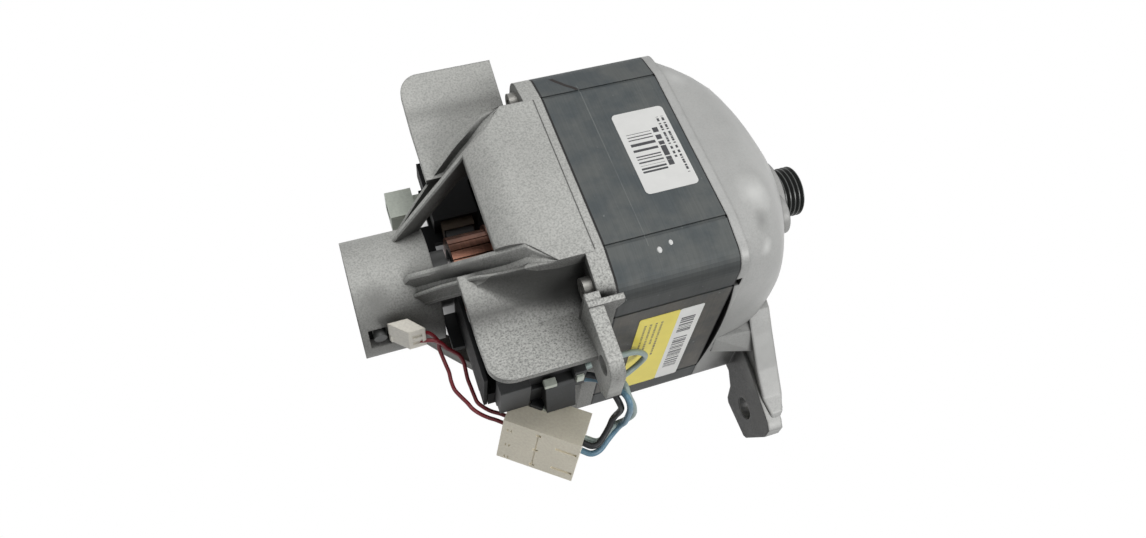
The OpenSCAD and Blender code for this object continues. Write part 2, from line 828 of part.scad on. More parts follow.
module clamp_screws() {
    color("gray")
        four_corners() {
            bar_x(behind(rear_rim), ahead(screw_bite - 0.5), screw_d / 2);
            difference() {
                bar_x(behind(rear_rim), behind(rear_rim + screw_head_h), screw_head_d / 2);
                translate([behind(rear_rim + screw_head_h) - 1, 0, 0])
                    rotate([0, 90, 0])
                        cylinder(h = 1 + screw_head_h / 2, r = screw_head_d / 4, $fn = 6);
            }
        }
}

// Bearings

// Section of a ring with its ball groove
module race(x0, w, r_in, r_out, ball_r) {
    about_x()
        difference() {
            translate([r_in, x0]) square([r_out - r_in, w]);
            translate([ball_r, x0 + w / 2]) circle(r = ball_d / 2 + fit, $fn = 48);
        }
}

module bearing_outer(x0, w, bore, od) {
    mid = (bore + od) / 4;
    race(x0, w, mid + ball_d * 0.32, od / 2, mid);
}

module bearing_inner(x0, w, bore, od) {
    mid = (bore + od) / 4;
    race(x0, w, bore / 2 + fit / 2, mid - ball_d * 0.32, mid);
}

module bearing_balls(x0, w, bore, od) {
    for (i = [0 : ball_n - 1])
        rotate([i * 360 / ball_n, 0, 0])
            translate([x0 + w / 2, 0, (bore + od) / 4])
                sphere(d = ball_d, $fn = 32);
}

front_bearing_x = ahead(front_back);
rear_bearing_x = behind(rear_bearing_back + rear_w);

module front_bearing_outer() {
    color("lightsteelblue") bearing_outer(front_bearing_x, front_w - slack, front_bore, front_od);
}

module front_bearing_inner() {
    color("lightsteelblue") bearing_inner(front_bearing_x, front_w - slack, front_bore, front_od);
}

module front_bearing_balls() {
    color("silver") bearing_balls(front_bearing_x, front_w - slack, front_bore, front_od);
}

module rear_bearing_outer() {
    color("lightsteelblue") bearing_outer(rear_bearing_x, rear_w, rear_bore, rear_od);
}

module rear_bearing_inner() {
    color("lightsteelblue") bearing_inner(rear_bearing_x, rear_w, rear_bore, rear_od);
}

module rear_bearing_balls() {
    color("silver") bearing_balls(rear_bearing_x, rear_w, rear_bore, rear_od);
}

module bearing_washer() {
    color("darkgray") ring_x(rear_bearing_x - washer_t, rear_bearing_x, rear_od / 2 - fit, rear_od / 2 - 3);
}

// Rotor

module shaft() {
    steps = [
        [pulley_w / 2, pulley_bore / 2], [x_hub + pulley_gap / 2, front_bore / 2],
        [front_bearing_x, shaft_r], [behind(commutator_back - riser_l), shaft_r - 0.5],
        [rear_bearing_x + rear_w, rear_bore / 2], [behind(rear_shoulder + 2), tail_r],
        [behind(magnet_back + magnet_l + 1), 0]
    ];
    color("gainsboro")
        for (i = [0 : len(steps) - 2])
            bar_x(steps[i][0], steps[i + 1][0], steps[i][1]);
}

// Plain ring on the shaft between the commutator and the rear bearing
module shaft_collar() {
    color("gainsboro") ring_x(behind(collar_back), behind(tube_front - 1.3), collar_r, shaft_r - 0.5 + fit / 2);
}

slot_pcd_r = rotor_d / 2 - slot_d / 2 - 2;

module slot_holes(r) {
    for (i = [0 : rotor_slots - 1])
        rotate(i * 360 / rotor_slots) translate([slot_pcd_r, 0]) circle(r = r, $fn = 32);
}

module armature_core() {
    color("slategray")
        along_x(x_rear, x_front)
            difference() {
                circle(r = rotor_d / 2, $fn = 128);
                circle(r = shaft_r + fit / 2, $fn = 64);
                slot_holes(slot_d / 2);
                for (i = [0 : rotor_slots - 1])
                    rotate(i * 360 / rotor_slots)
                        translate([slot_pcd_r, -slot_mouth / 2]) square([slot_d, slot_mouth]);
            }
}

// Bundle of end turns, drawn in radius and X, from the core face outwards
module end_turns(x0, dir) {
    in_r = shaft_r + 2;
    out_r = slot_pcd_r + slot_d / 2;
    over = winding_over * dir;
    about_x()
        polygon([
            [in_r, x0 + 0.2 * dir], [out_r, x0 + 0.2 * dir], [out_r + 0.5, x0 + over * 0.35],
            [out_r - 2, x0 + over * 0.75], [out_r - 7, x0 + over], [in_r + 3, x0 + over],
            [in_r, x0 + over * 0.8]
        ]);
}

module armature_winding() {
    color("chocolate") {
        along_x(behind(1), ahead(1)) slot_holes(slot_d / 2 - 2 * fit);
        end_turns(x_front, 1);
        end_turns(x_rear, -1);
    }
}

module commutator_hub() {
    x0 = behind(commutator_back + commutator_l);
    color("darkslategray")
        ring_x(x0, behind(commutator_back - riser_l), hub_r - fit / 2, shaft_r - 0.5 + fit / 2);
}

// Section of one commutator bar, out to a radius
module bar_section(r) {
    half = 180 / commutator_bars_n;
    far = r + 1;
    near = bar_gap / 2 / sin(half);
    difference() {
        intersection() {
            circle(r = r, $fn = 96);
            polygon([[near, 0], [near + far, far * tan(half)], [near + far, -far * tan(half)]]);
        }
        circle(r = hub_r, $fn = 96);
    }
}

// One commutator bar with its riser
module commutator_bar() {
    along_x(behind(commutator_back), behind(commutator_back + commutator_l)) bar_section(commutator_r);
    along_x(behind(commutator_back - riser_l), behind(commutator_back)) bar_section(commutator_r + riser_h);
}

module commutator_bars() {
    color("peru")
        for (i = [0 : commutator_bars_n - 1])
            rotate([i * 360 / commutator_bars_n, 0, 0]) commutator_bar();
}

module belt_pulley() {
    r = pulley_d / 2;
    x0 = -pulley_w / 2;
    tip = rib_pitch * 0.12;
    grooves = [
        for (i = [0 : pulley_ribs - 1])
            let (x = x0 + pulley_edge + i * rib_pitch)
                each [
                    [r, x + tip], [r - rib_h, x + rib_pitch / 2 - tip / 2],
                    [r - rib_h, x + rib_pitch / 2 + tip / 2], [r, x + rib_pitch - tip]
                ]
    ];
    color("#2b2b2b")
        about_x()
            polygon(concat(
                [[pulley_bore / 2 + fit / 2, x0], [r - 0.4, x0], [r, x0 + pulley_edge]],
                grooves,
                [[r, -x0 - pulley_edge], [r - 0.4, -x0], [pulley_bore / 2 + fit / 2, -x0]]
            ));
}

// Brush gear, drawn on the +Y side

commutator_x = behind(commutator_mid);

// Plan of the flange under a brush holder, which stays clear of the commutator
module holder_flange() {
    polygon([
        [behind(flange_back), collar_r + 2.5], [behind(collar_back + 1), collar_r + 2.5],
        [behind(collar_back + 1), holder_in], [behind(winding_over + 1.5), holder_in],
        [behind(winding_over + 1.5), holder_reach - 8], [behind(flange_back - 5.5), holder_reach - 8],
        [behind(flange_back - 5.5), holder_in + 10], [behind(flange_back), holder_in + 10]
    ]);
}

module brush_holder() {
    difference() {
        union() {
            translate([commutator_x - holder_w / 2, holder_in + tube_proud, -holder_h / 2])
                cube([holder_w, holder_reach - holder_in - tube_proud, holder_h]);
            translate([0, 0, -holder_h / 2 - flange_t]) linear_extrude(flange_t + eps) holder_flange();
            translate([commutator_x, pad_y + 1, -holder_h / 2])
                cube([behind(pad_back) - commutator_x, holder_reach - pad_y - 3, holder_h]);
        }
        translate([commutator_x - tube_w / 2 - fit, holder_in - 1, -tube_h / 2 - fit])
            cube([tube_w + 2 * fit, holder_reach - holder_wall - holder_in + 1, tube_h + 2 * fit]);
    }
}

module brush_tube() {
    difference() {
        translate([commutator_x - tube_w / 2, holder_in, -tube_h / 2])
            cube([tube_w, holder_reach - holder_wall - holder_in - fit, tube_h]);
        translate([commutator_x - tube_w / 2 + tube_t, holder_in - 1, -tube_h / 2 + tube_t])
            cube([tube_w - 2 * tube_t, holder_reach, tube_h - 2 * tube_t]);
    }
}

// Carbon block with its curved face on the commutator
module brush() {
    difference() {
        translate([commutator_x - brush_w / 2, commutator_r - 1, -brush_t / 2])
            cube([brush_w, brush_end - commutator_r + 1, brush_t]);
        bar_x(behind(deck_l + 30), behind(commutator_back - 5), commutator_r + slack);
    }
}

spring_sides = 6;
spring_rings = 8;
function spring_point(s) =
    let (
        a = s * spring_curls * 360,
        r = (spring_d - spring_wire) / 2,
        y0 = brush_end + slack + spring_wire / 2
    )
        [
            commutator_x + r * cos(a),
            y0 + s * (spring_end - spring_wire / 2 - y0),
            r * sin(a)
        ];
spring_n = spring_curls * spring_rings;
spring_route = [for (i = [0 : spring_n]) spring_point(i / spring_n)];
spring_gap = (spring_route[spring_rings][1] - spring_route[0][1]) - spring_wire;
echo(brush_spring_gap = spring_gap);

module brush_spring() {
    wire(spring_route, spring_wire, spring_sides);
}

module brush_holder_near() {
    color("#3a3d40") mirror([0, 1, 0]) brush_holder();
}

module brush_holder_far() {
    color("#3a3d40") brush_holder();
}

module brush_tube_near() {
    color("goldenrod") mirror([0, 1, 0]) brush_tube();
}

module brush_tube_far() {
    color("goldenrod") brush_tube();
}

module brush_near() {
    color("#222222") mirror([0, 1, 0]) brush();
}

module brush_far() {
    color("#222222") brush();
}

module brush_spring_near() {
    color("silver") mirror([0, 1, 0]) brush_spring();
}

module brush_spring_far() {
    color("silver") brush_spring();
}

// Insulated push-on terminal behind the far holder
module brush_terminal_far() {
    x0 = commutator_x - holder_w / 2;
    x1 = x0 - tab_l - sleeve_l;
    color("#dfe3d6")
        difference() {
            union() {
                translate([x0 - tab_l, sleeve_y - tab_w / 2, -tab_w / 2]) cube([tab_l, tab_w, tab_w]);
                translate([x1, sleeve_y - sleeve_w / 2, -sleeve_h / 2]) cube([sleeve_l, sleeve_w, sleeve_h]);
            }
            translate([x1 - 1, sleeve_y - tab_w / 2, -sleeve_h / 4]) cube([tab_l + 3, tab_w, sleeve_h / 2]);
        }
}

// Tacho and connectors

module tacho_magnet() {
    color("#4a4440") ring_x(behind(magnet_back), behind(magnet_back + magnet_l), magnet_d / 2, tail_r + fit / 2);
}

module tacho_coil() {
    in_r = magnet_d / 2 + tacho_gap;
    color("#a8aca6") {
        ring_x(behind(magnet_back - 1), behind(magnet_back + magnet_l + 2), in_r + tacho_coil_t - slack, in_r);
        translate([behind(tacho_lead_back), -in_r - 3, tacho_lead_z])
            rotate([90, 0, 0])
                cylinder(h = tube_r - in_r - 4, r1 = tacho_lead_r, r2 = tacho_lead_r - 0.3, $fn = 48);
    }
}

module tacho_cap() {
    in_r = magnet_d / 2 + tacho_gap;
    x1 = behind(magnet_back + magnet_l + 2 + fit);
    color("#303030")
        difference() {
            bar_x(x1 - cap_t, x1, in_r + tacho_coil_t - slack);
            bar_x(x1 - cap_t - 1, x1 + 1, in_r - 6);
            translate([x1 - cap_t - 1, -tube_r, tacho_lead_z - tacho_lead_r - slack])
                cube([cap_t + 2, tube_r - in_r - 3 + slack, 2 * tacho_lead_r + 2 * slack]);
            for (a = [-60, 60])
                rotate([a, 0, 0])
                    translate([x1 - cap_t - 1, -2, in_r]) cube([cap_t + 2, 4, 5]);
        }
}

// White plug beside the tube, skewed in plan, with a clip that hugs the tube
module tacho_connector() {
    x0 = behind(83);
    y0 = -tube_r - slack;
    color("#ece7d8")
        difference() {
            union() {
                translate([0, 0, 6])
                    linear_extrude(15)
                        polygon([[x0, y0], [x0 + 7, y0 - 6.4], [x0 + 14, y0 - 6.2], [x0 + 8.2, y0]]);
                translate([x0 + 0.5, y0 - 1, 6]) cube([6.5, 4, 5]);
            }
            bar_x(x0 - 1, x0 + 16, tube_r + fit);
            for (z = [9, 14.5])
                translate([x0 + 8.5, y0 - 7, z]) cube([4, 1.4, 3]);
        }
}

// Places its children in the frame of the main connector
module at_connector() {
    translate(connector_corner)
        rotate([0, 0, connector_turn])
            rotate([connector_lean, 0, 0]) children();
}

// Dark bracket on the near brush holder that carries the main connector
module terminal_bracket() {
    x0 = behind(bracket_back);
    y1 = -holder_reach;
    color("#45484b") {
        difference() {
            translate([x0, y1 - bracket_t, 1]) cube([bracket_end - x0, bracket_t, bracket_h]);
            for (i = [0 : 2])
                translate([x0 + 5 + i * 10.5, y1 - bracket_t - 1, 6]) cube([7.5, 5, bracket_h]);
        }
        at_connector() translate([6, 7, 0]) cube([14, 8, 7]);
    }
}

// Cream plug housing with two rows of chambers and latch ribs
module main_connector() {
    chambers = 4;
    pitch = (connector_l - 3) / chambers;
    color("#e9e2cc")
        at_connector()
            difference() {
                translate([0, 0, -connector_h]) cube([connector_l, connector_w, connector_h]);
                for (i = [0 : chambers - 1], w = [0.28, 0.72])
                    translate([1.5 + pitch * (i + 0.5), connector_w - 6, -connector_h * w])
                        translate([-pitch * 0.36, 0, -3]) cube([pitch * 0.72, 7, 6]);
                translate([connector_l * 0.52, -1, -connector_h * 0.36])
                    cube([0.8, 1.6, connector_h * 0.3]);
            }
}

module red_wire_outer() {
    color("darkred") wire(red_outer_route, red_wire_d);
}

module red_wire_inner() {
    color("darkred") wire(red_inner_route, red_wire_d);
}

module black_lead() {
    color("#222222") wire(black_route, lead_d);
}

module blue_lead() {
    color("steelblue") wire(blue_route, lead_d);
}

module grey_lead() {
    color("#9fb0aa") wire(grey_route, lead_d);
}

stator_stack();
field_coil_upper();
field_coil_lower();
coil_insulator_upper();
coil_insulator_lower();
front_shield();
rear_shield();
clamp_screws();
front_bearing_outer();
front_bearing_inner();
front_bearing_balls();
rear_bearing_outer();
rear_bearing_inner();
rear_bearing_balls();
bearing_washer();
shaft();
shaft_collar();
armature_core();
armature_winding();
commutator_hub();
commutator_bars();
belt_pulley();
brush_holder_near();
brush_holder_far();
brush_tube_near();
brush_tube_far();
brush_near();
brush_far();
brush_spring_near();
brush_spring_far();
brush_terminal_far();
tacho_magnet();
tacho_coil();
tacho_cap();
tacho_connector();
terminal_bracket();
main_connector();
red_wire_outer();
red_wire_inner();
black_lead();
blue_lead();
grey_lead();
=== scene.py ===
"""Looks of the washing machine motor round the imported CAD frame: tables in millimetres, scene in metres."""

import json
import math

import bmesh
import bpy
from mathutils import Matrix, Vector


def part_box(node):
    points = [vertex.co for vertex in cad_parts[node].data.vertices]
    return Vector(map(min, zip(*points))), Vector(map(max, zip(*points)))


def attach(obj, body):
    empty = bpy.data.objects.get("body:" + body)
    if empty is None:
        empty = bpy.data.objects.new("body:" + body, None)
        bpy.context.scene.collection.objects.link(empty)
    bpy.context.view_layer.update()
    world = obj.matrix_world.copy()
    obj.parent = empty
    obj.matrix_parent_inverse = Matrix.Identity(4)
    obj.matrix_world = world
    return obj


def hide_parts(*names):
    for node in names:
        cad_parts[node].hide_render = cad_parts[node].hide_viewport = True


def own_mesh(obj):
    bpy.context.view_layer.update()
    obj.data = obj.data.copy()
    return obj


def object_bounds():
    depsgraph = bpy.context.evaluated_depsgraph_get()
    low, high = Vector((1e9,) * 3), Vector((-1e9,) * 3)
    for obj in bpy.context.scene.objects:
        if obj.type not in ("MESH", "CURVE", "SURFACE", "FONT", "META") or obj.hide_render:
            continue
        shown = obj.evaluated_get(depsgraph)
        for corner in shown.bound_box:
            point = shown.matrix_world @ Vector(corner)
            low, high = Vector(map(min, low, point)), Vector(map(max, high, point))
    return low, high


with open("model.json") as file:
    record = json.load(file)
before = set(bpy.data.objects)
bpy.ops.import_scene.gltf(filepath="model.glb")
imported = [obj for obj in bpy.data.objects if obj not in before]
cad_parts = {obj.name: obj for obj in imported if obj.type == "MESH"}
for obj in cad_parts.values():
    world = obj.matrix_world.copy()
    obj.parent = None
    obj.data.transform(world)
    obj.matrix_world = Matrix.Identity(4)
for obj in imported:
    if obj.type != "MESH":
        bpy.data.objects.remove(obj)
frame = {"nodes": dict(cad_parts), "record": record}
cad_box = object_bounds()
nodes = frame["nodes"]
scene = bpy.context.scene
MM = 0.001

# Picture size in pixels, and the camera fitted to the photograph
WIDTH, HEIGHT = 1146, 538
FOCAL_PX = 920.81
CENTRE_PX = (566.6, 218.1)
EYE = Vector((-208.54, -198.58, 354.79)) * MM
RIGHT = Vector((0.942366, -0.324593, 0.081154))
DOWN = Vector((-0.229121, -0.802812, -0.550452))
AHEAD = Vector((0.243825, 0.500133, -0.830913))


def make_camera():
    """Camera at the photograph's place, angle and framing."""
    data = bpy.data.cameras.new("camera")
    data.sensor_width = 36.0
    data.lens = FOCAL_PX * data.sensor_width / WIDTH
    data.shift_x = (WIDTH / 2 - CENTRE_PX[0]) / WIDTH
    data.shift_y = (CENTRE_PX[1] - HEIGHT / 2) / WIDTH
    data.clip_start = 0.01
    camera = bpy.data.objects.new("camera", data)
    turn = Matrix((RIGHT, -DOWN, -AHEAD)).transposed().to_4x4()
    camera.matrix_world = Matrix.Translation(EYE) @ turn
    scene.collection.objects.link(camera)
    scene.camera = camera


# Node tree helpers


def grey(value):
    return (value, value, value, 1.0)


def shade(colour, k):
    return tuple(min(1.0, c * k) for c in colour)


class Tree:
    """A material's node tree with short ways to add nodes."""

    def __init__(self, name):
        self.material = bpy.data.materials.new(name)
        self.material.use_nodes = True
        self.tree = self.material.node_tree
        self.tree.nodes.clear()
        self.out = self.add("ShaderNodeOutputMaterial")
        self.shader = self.add("ShaderNodeBsdfPrincipled")
        self.link(self.shader.outputs[0], self.out.inputs["Surface"])
        self.place = self.add("ShaderNodeTexCoord").outputs["Object"]

    def add(self, kind, **values):
        node = self.tree.nodes.new(kind)
        for key, value in values.items():
            setattr(node, key, value)
        return node

    def link(self, a, b):
        self.tree.links.new(a, b)

    def fill(self, socket, value):
        """Sets a socket to a number or a colour, or links it to another socket."""
        if isinstance(value, (int, float)):
            socket.default_value = value
        elif isinstance(value, tuple):
            socket.default_value = (*value, 1.0)
        else:
            self.link(value, socket)

    def set(self, name, value):
        self.fill(self.shader.inputs[name], value)

    def noise(self, scale, detail=4.0, rough=0.55, stretch=None):
        node = self.add("ShaderNodeTexNoise")
        node.inputs["Scale"].default_value = scale
        node.inputs["Detail"].default_value = detail
        node.inputs["Roughness"].default_value = rough
        place = self.place
        if stretch:
            mapping = self.add("ShaderNodeMapping")
            mapping.inputs["Scale"].default_value = stretch
            self.link(place, mapping.inputs["Vector"])
            place = mapping.outputs[0]
        self.link(place, node.inputs["Vector"])
        return node.outputs["Fac"]

    def ramp(self, value, stops):
        node = self.add("ShaderNodeValToRGB")
        ramp = node.color_ramp
        while len(ramp.elements) < len(stops):
            ramp.elements.new(0.5)
        for element, (position, colour) in zip(ramp.elements, stops):
            element.position = position
            element.color = grey(colour) if isinstance(colour, (int, float)) else (*colour, 1.0)
        self.link(value, node.inputs["Fac"])
        return node.outputs["Color"]

    def mix(self, factor, a, b, blend="MIX"):
        node = self.add("ShaderNodeMix", data_type="RGBA", blend_type=blend)
        for name, value in (("Factor", factor), ("A", a), ("B", b)):
            self.fill(node.inputs[name], value)
        return next(s for s in node.outputs if s.type == "RGBA")

    def math(self, operation, a, b=0.0):
        node = self.add("ShaderNodeMath", operation=operation)
        self.fill(node.inputs[0], a)
        self.fill(node.inputs[1], b)
        return node.outputs[0]

    def times(self, first, *others):
        """Product of two or more values."""
        for other in others:
            first = self.math("MULTIPLY", first, other)
        return first

    def above(self, value, limit):
        return self.math("GREATER_THAN", value, limit)

    def below(self, value, limit):
        return self.math("LESS_THAN", value, limit)

    def inside(self, value, low, high):
        """One where the value lies between two limits, and nought elsewhere."""
        return self.times(self.above(value, low), self.below(value, high))

    def axis(self, which, source=None):
        node = self.add("ShaderNodeSeparateXYZ")
        self.link(source or self.place, node.inputs[0])
        return node.outputs["XYZ".index(which)]

    def broken(self, value, scale, level):
        """Ones and noughts along a line, in runs of uneven length."""
        node = self.add("ShaderNodeTexNoise", noise_dimensions="1D")
        node.inputs["Scale"].default_value = scale
        node.inputs["Detail"].default_value = 1.0
        self.link(value, node.inputs["W"])
        return self.above(node.outputs["Fac"], level)

    def bump(self, height, distance, strength=1.0, edge=0.0):
        """Relief of a height in metres, with edges rounded by a radius in metres."""
        node = self.add("ShaderNodeBump")
        node.inputs["Strength"].default_value = strength
        node.inputs["Distance"].default_value = distance
        self.link(height, node.inputs["Height"])
        if edge:
            round_edge = self.add("ShaderNodeBevel", samples=6)
            round_edge.inputs["Radius"].default_value = edge
            self.link(round_edge.outputs[0], node.inputs["Normal"])
        self.link(node.outputs[0], self.shader.inputs["Normal"])

    def facing(self, which, sign, low, high):
        """From nought to one as the surface turns towards one side of the object."""
        normal = self.add("ShaderNodeNewGeometry").outputs["Normal"]
        return self.ramp(self.times(self.axis(which, normal), sign), [(low, 0.0), (high, 1.0)])

    def spot(self, place, radius):
        """Most at a place in millimetres, falling to nought at a radius with a ragged edge."""
        away = self.add("ShaderNodeVectorMath", operation="DISTANCE")
        self.link(self.place, away.inputs[0])
        away.inputs[1].default_value = Vector(place) * MM
        far = self.math("DIVIDE", away.outputs["Value"], radius * MM)
        ragged = self.math("ADD", far, self.times(self.noise(170.0, 4.0, 0.6), 0.5))
        return self.ramp(ragged, [(0.35, 0.8), (1.0, 0.0)])

    def hollow_shade(self, base, distance, low):
        """Painted shade: darkens a colour where the surface lies deep among its neighbours."""
        node = self.add("ShaderNodeAmbientOcclusion", samples=8)
        node.inputs["Distance"].default_value = distance
        return self.mix(1.0, base, self.ramp(node.outputs["AO"], [(0.35, low), (0.9, 1.0)]), "MULTIPLY")


# Materials


def plain(name, colour, rough, metal=0.0, spread=0.12, edge=0.0, gloss=0.5, hollow=0.0):
    """A moulded or machined surface: uneven colour, fine grain and uneven gloss, with painted shade in its
    hollows where a reach is given.
    """
    t = Tree(name)
    broad = t.noise(60.0, 3.0)
    fine = t.noise(900.0, 3.0)
    base = t.ramp(broad, [(0.3, shade(colour, 1 - spread)), (0.7, shade(colour, 1 + spread))])
    base = t.mix(0.25, base, t.ramp(fine, [(0.3, shade(colour, 0.7)), (0.7, shade(colour, 1.3))]))
    t.set("Base Color", t.hollow_shade(base, hollow, 0.2) if hollow else base)
    t.set("Roughness", t.ramp(fine, [(0.2, rough * 0.85), (0.8, min(1.0, rough * 1.15))]))
    t.set("Metallic", metal)
    t.set("Specular IOR Level", gloss)
    t.bump(fine, 0.03 * MM, 1.0, edge)
    return t.material


# Wings of the rear casting, and the skewed band across the near one that holds its scoop, in millimetres
WING_X, WING_Z = -118.0, (26.0, 56.0)
SCOOP_SKEW, SCOOP_BAND = 0.2, (-81.0, -62.0)

# Painted shade along the folds of the two wings: middle and half width in millimetres, and how bright
WING_FOLDS = ((58.0, 5.0, 0.7), (-43.0, 11.0, 0.2))

# Painted highlights and painted shade on the front casting: middle and radius in millimetres, and how bright
FRONT_SPOTS = (
    ((-43.0, -28.0, 57.0), 13.0, 1.5),
    ((-45.0, -40.0, 54.0), 8.0, 0.6),
    ((-45.0, -48.5, 47.0), 6.0, 1.3),
    ((-52.0, 36.0, 58.6), 9.0, 1.3),
    ((-35.0, -68.0, -21.0), 30.0, 0.7),
)

# Painted highlights and painted shade on the rear casting: scoop, tube, arm and lug
REAR_SPOTS = (
    ((-131.0, -41.5, 48.5), 10.0, 0.4),
    ((-124.5, -40.0, 53.0), 10.0, 0.3),
    ((-199.0, -15.0, 20.5), 13.0, 0.5),
    ((-170.0, -17.0, 38.0), 10.0, 0.35),
    ((-161.0, -21.0, 43.5), 9.0, 0.55),
    ((-123.7, -77.0, 43.0), 18.0, 1.4),
)


def paint_wing_shade(t, base, colour, folds):
    """Painted shade: darkens a colour along the folds of the wings and down the slopes of the near wing's
    scoop.
    """
    wing = t.times(t.inside(t.axis("Z"), WING_Z[0] * MM, WING_Z[1] * MM), t.below(t.axis("X"), WING_X * MM))
    for middle, half, low in folds:
        away = t.math("ABSOLUTE", t.math("SUBTRACT", t.axis("Y"), middle * MM))
        fold_shade = t.ramp(t.math("DIVIDE", away, half * MM), [(0.0, 1.0 - low), (1.0, 0.0)])
        base = t.mix(t.times(wing, fold_shade), base, shade(colour, 0.2))
    skew = t.math("ADD", t.axis("Y"), t.times(t.axis("X"), SCOOP_SKEW))
    scoop = t.times(wing, t.inside(skew, SCOOP_BAND[0] * MM, SCOOP_BAND[1] * MM))
    slope = t.math("SUBTRACT", 1.0, t.facing("Z", 1.0, 0.75, 0.98))
    return t.mix(t.times(scoop, slope, 0.65), base, shade(colour, 0.15))


def cast_aluminium(name, colour, speckle, rough, depth, edge, near_face_shade, back, spots, swell=0.0, folds=()):
    """Die-cast aluminium: grain, stains, a wavy skin, and painted shade and highlights set by hollow,
    direction and place.
    """
    t = Tree(name)
    grain = t.noise(1300.0, 3.0, 0.6)
    patch = t.noise(28.0, 4.0, 0.6)
    stain = t.noise(75.0, 5.0, 0.65)
    base = t.ramp(patch, [(0.3, shade(colour, 0.9)), (0.7, shade(colour, 1.08))])
    base = t.mix(t.ramp(stain, [(0.55, 0.0), (0.8, 0.35)]), base, shade(colour, 0.75))
    dots = t.ramp(grain, [(0.36, 1.0 - speckle), (0.48, 1.0), (0.64, 1.0 + speckle * 0.8)])
    near = t.ramp(t.times(t.axis("Y"), -10.0), [(0.3, 0.55), (0.5, 1.0)])
    base = t.mix(near, base, dots, "MULTIPLY")
    # Painted shade on faces that look to the near side, and on faces that look to the rear
    base = t.mix(t.times(t.facing("Y", -1.0, 0.25, 0.8), near_face_shade), base, shade(colour, 0.15))
    base = t.mix(t.times(t.facing("X", -1.0, 0.6, 0.95), back), base, shade(colour, 0.15))
    # Painted highlights and painted shade at single places
    for place, radius, factor in spots:
        base = t.mix(t.spot(place, radius), base, shade(colour, factor))
    if folds:
        base = paint_wing_shade(t, base, colour, folds)
    # Painted shade in hollows
    t.set("Base Color", t.hollow_shade(base, 45.0 * MM, 0.25))
    t.set("Metallic", 0.12)
    t.set("Specular IOR Level", 0.2)
    t.set("Roughness", t.ramp(grain, [(0.3, rough - 0.08), (0.7, rough + 0.1)]))
    skin = grain
    if swell:
        skin = t.math("ADD", grain, t.times(t.noise(42.0, 3.0, 0.5), swell))
    t.bump(skin, depth * MM, 0.7, edge * MM)
    return t.material


# Marks on the stack in millimetres: sides, a bright line on top, a dark scratch, and the joints at its ends
SIDE_Y, SIDE_Z = 56.6, 38.0
LINE_X, LINE_Z = (-96.2, -95.8), 60.0
SCRATCH_TURN, SCRATCH_WAVE = (0.789, 0.614), 4.0
SCRATCH_ACROSS, SCRATCH_Y, SCRATCH_Z = (-50.8, -49.2), (39.0, 50.0), 50.0
JOINT_BACK, JOINT_FRONT = -112.3, -61.7


def lamination(name, colour):
    """Stacked sheets seen on edge: fine lines, varnish and scuffs, with painted shade on near faces, darker
    sides partly by painted shade, and dark ends.
    """
    t = Tree(name)
    lines = t.noise(1.0, 2.0, 0.5, (1700.0, 9.0, 9.0))
    broad = t.noise(1.0, 3.0, 0.6, (150.0, 14.0, 14.0))
    scuff = t.noise(1.0, 5.0, 0.7, (90.0, 40.0, 90.0))
    varnish = t.noise(55.0, 5.0, 0.62)
    speck = t.noise(430.0, 2.0, 0.5)
    x, y, z = (t.axis(which) for which in "XYZ")
    base = t.ramp(broad, [(0.3, shade(colour, 0.93)), (0.7, shade(colour, 1.07))])
    blue = (colour[0] * 0.62, colour[1] * 0.68, colour[2] * 0.74)
    base = t.mix(t.ramp(varnish, [(0.4, 0.0), (0.6, 0.9)]), base, blue)
    # Painted shade: faces that look to the near side are darker
    base = t.mix(t.times(t.facing("Y", -1.0, 0.5, 0.9), 0.75), base, shade(colour, 0.2))
    # The sides take a dark scuffed colour: partly their own darker colour, partly painted shade
    side = t.above(t.math("ABSOLUTE", y), SIDE_Y * MM)
    side = t.times(side, t.below(t.math("ABSOLUTE", z), SIDE_Z * MM))
    base = t.mix(side, base, t.ramp(scuff, [(0.35, (0.058, 0.06, 0.058)), (0.7, (0.11, 0.1, 0.085))]))
    base = t.mix(1.0, base, t.ramp(lines, [(0.35, 0.92), (0.65, 1.04)]), "MULTIPLY")
    base = t.mix(t.ramp(scuff, [(0.64, 0.0), (0.82, 0.35)]), base, shade(colour, 1.9))
    base = t.mix(t.ramp(speck, [(0.72, 0.0), (0.78, 0.45)]), base, shade(colour, 2.2))
    line = t.times(t.inside(x, LINE_X[0] * MM, LINE_X[1] * MM), t.above(z, LINE_Z * MM))
    base = t.mix(t.times(line, t.ramp(scuff, [(0.35, 0.1), (0.6, 0.7)])), base, shade(colour, 1.9))
    across = t.math("ADD", t.times(x, SCRATCH_TURN[0]), t.times(y, SCRATCH_TURN[1]))
    across = t.math("ADD", across, t.times(t.noise(60.0, 2.0), SCRATCH_WAVE * MM))
    scratch = t.times(t.inside(across, SCRATCH_ACROSS[0] * MM, SCRATCH_ACROSS[1] * MM),
                      t.inside(y, SCRATCH_Y[0] * MM, SCRATCH_Y[1] * MM), t.above(z, SCRATCH_Z * MM))
    base = t.mix(scratch, base, (0.02, 0.015, 0.014))
    joint = t.math("MAXIMUM", t.below(x, JOINT_BACK * MM), t.above(x, JOINT_FRONT * MM))
    t.set("Base Color", t.mix(joint, base, (0.012, 0.012, 0.012)))
    t.set("Metallic", 0.1)
    t.set("Specular IOR Level", 0.3)
    t.set("Roughness", t.ramp(broad, [(0.3, 0.5), (0.7, 0.62)]))
    t.bump(lines, 0.05 * MM, 0.5)
    return t.material


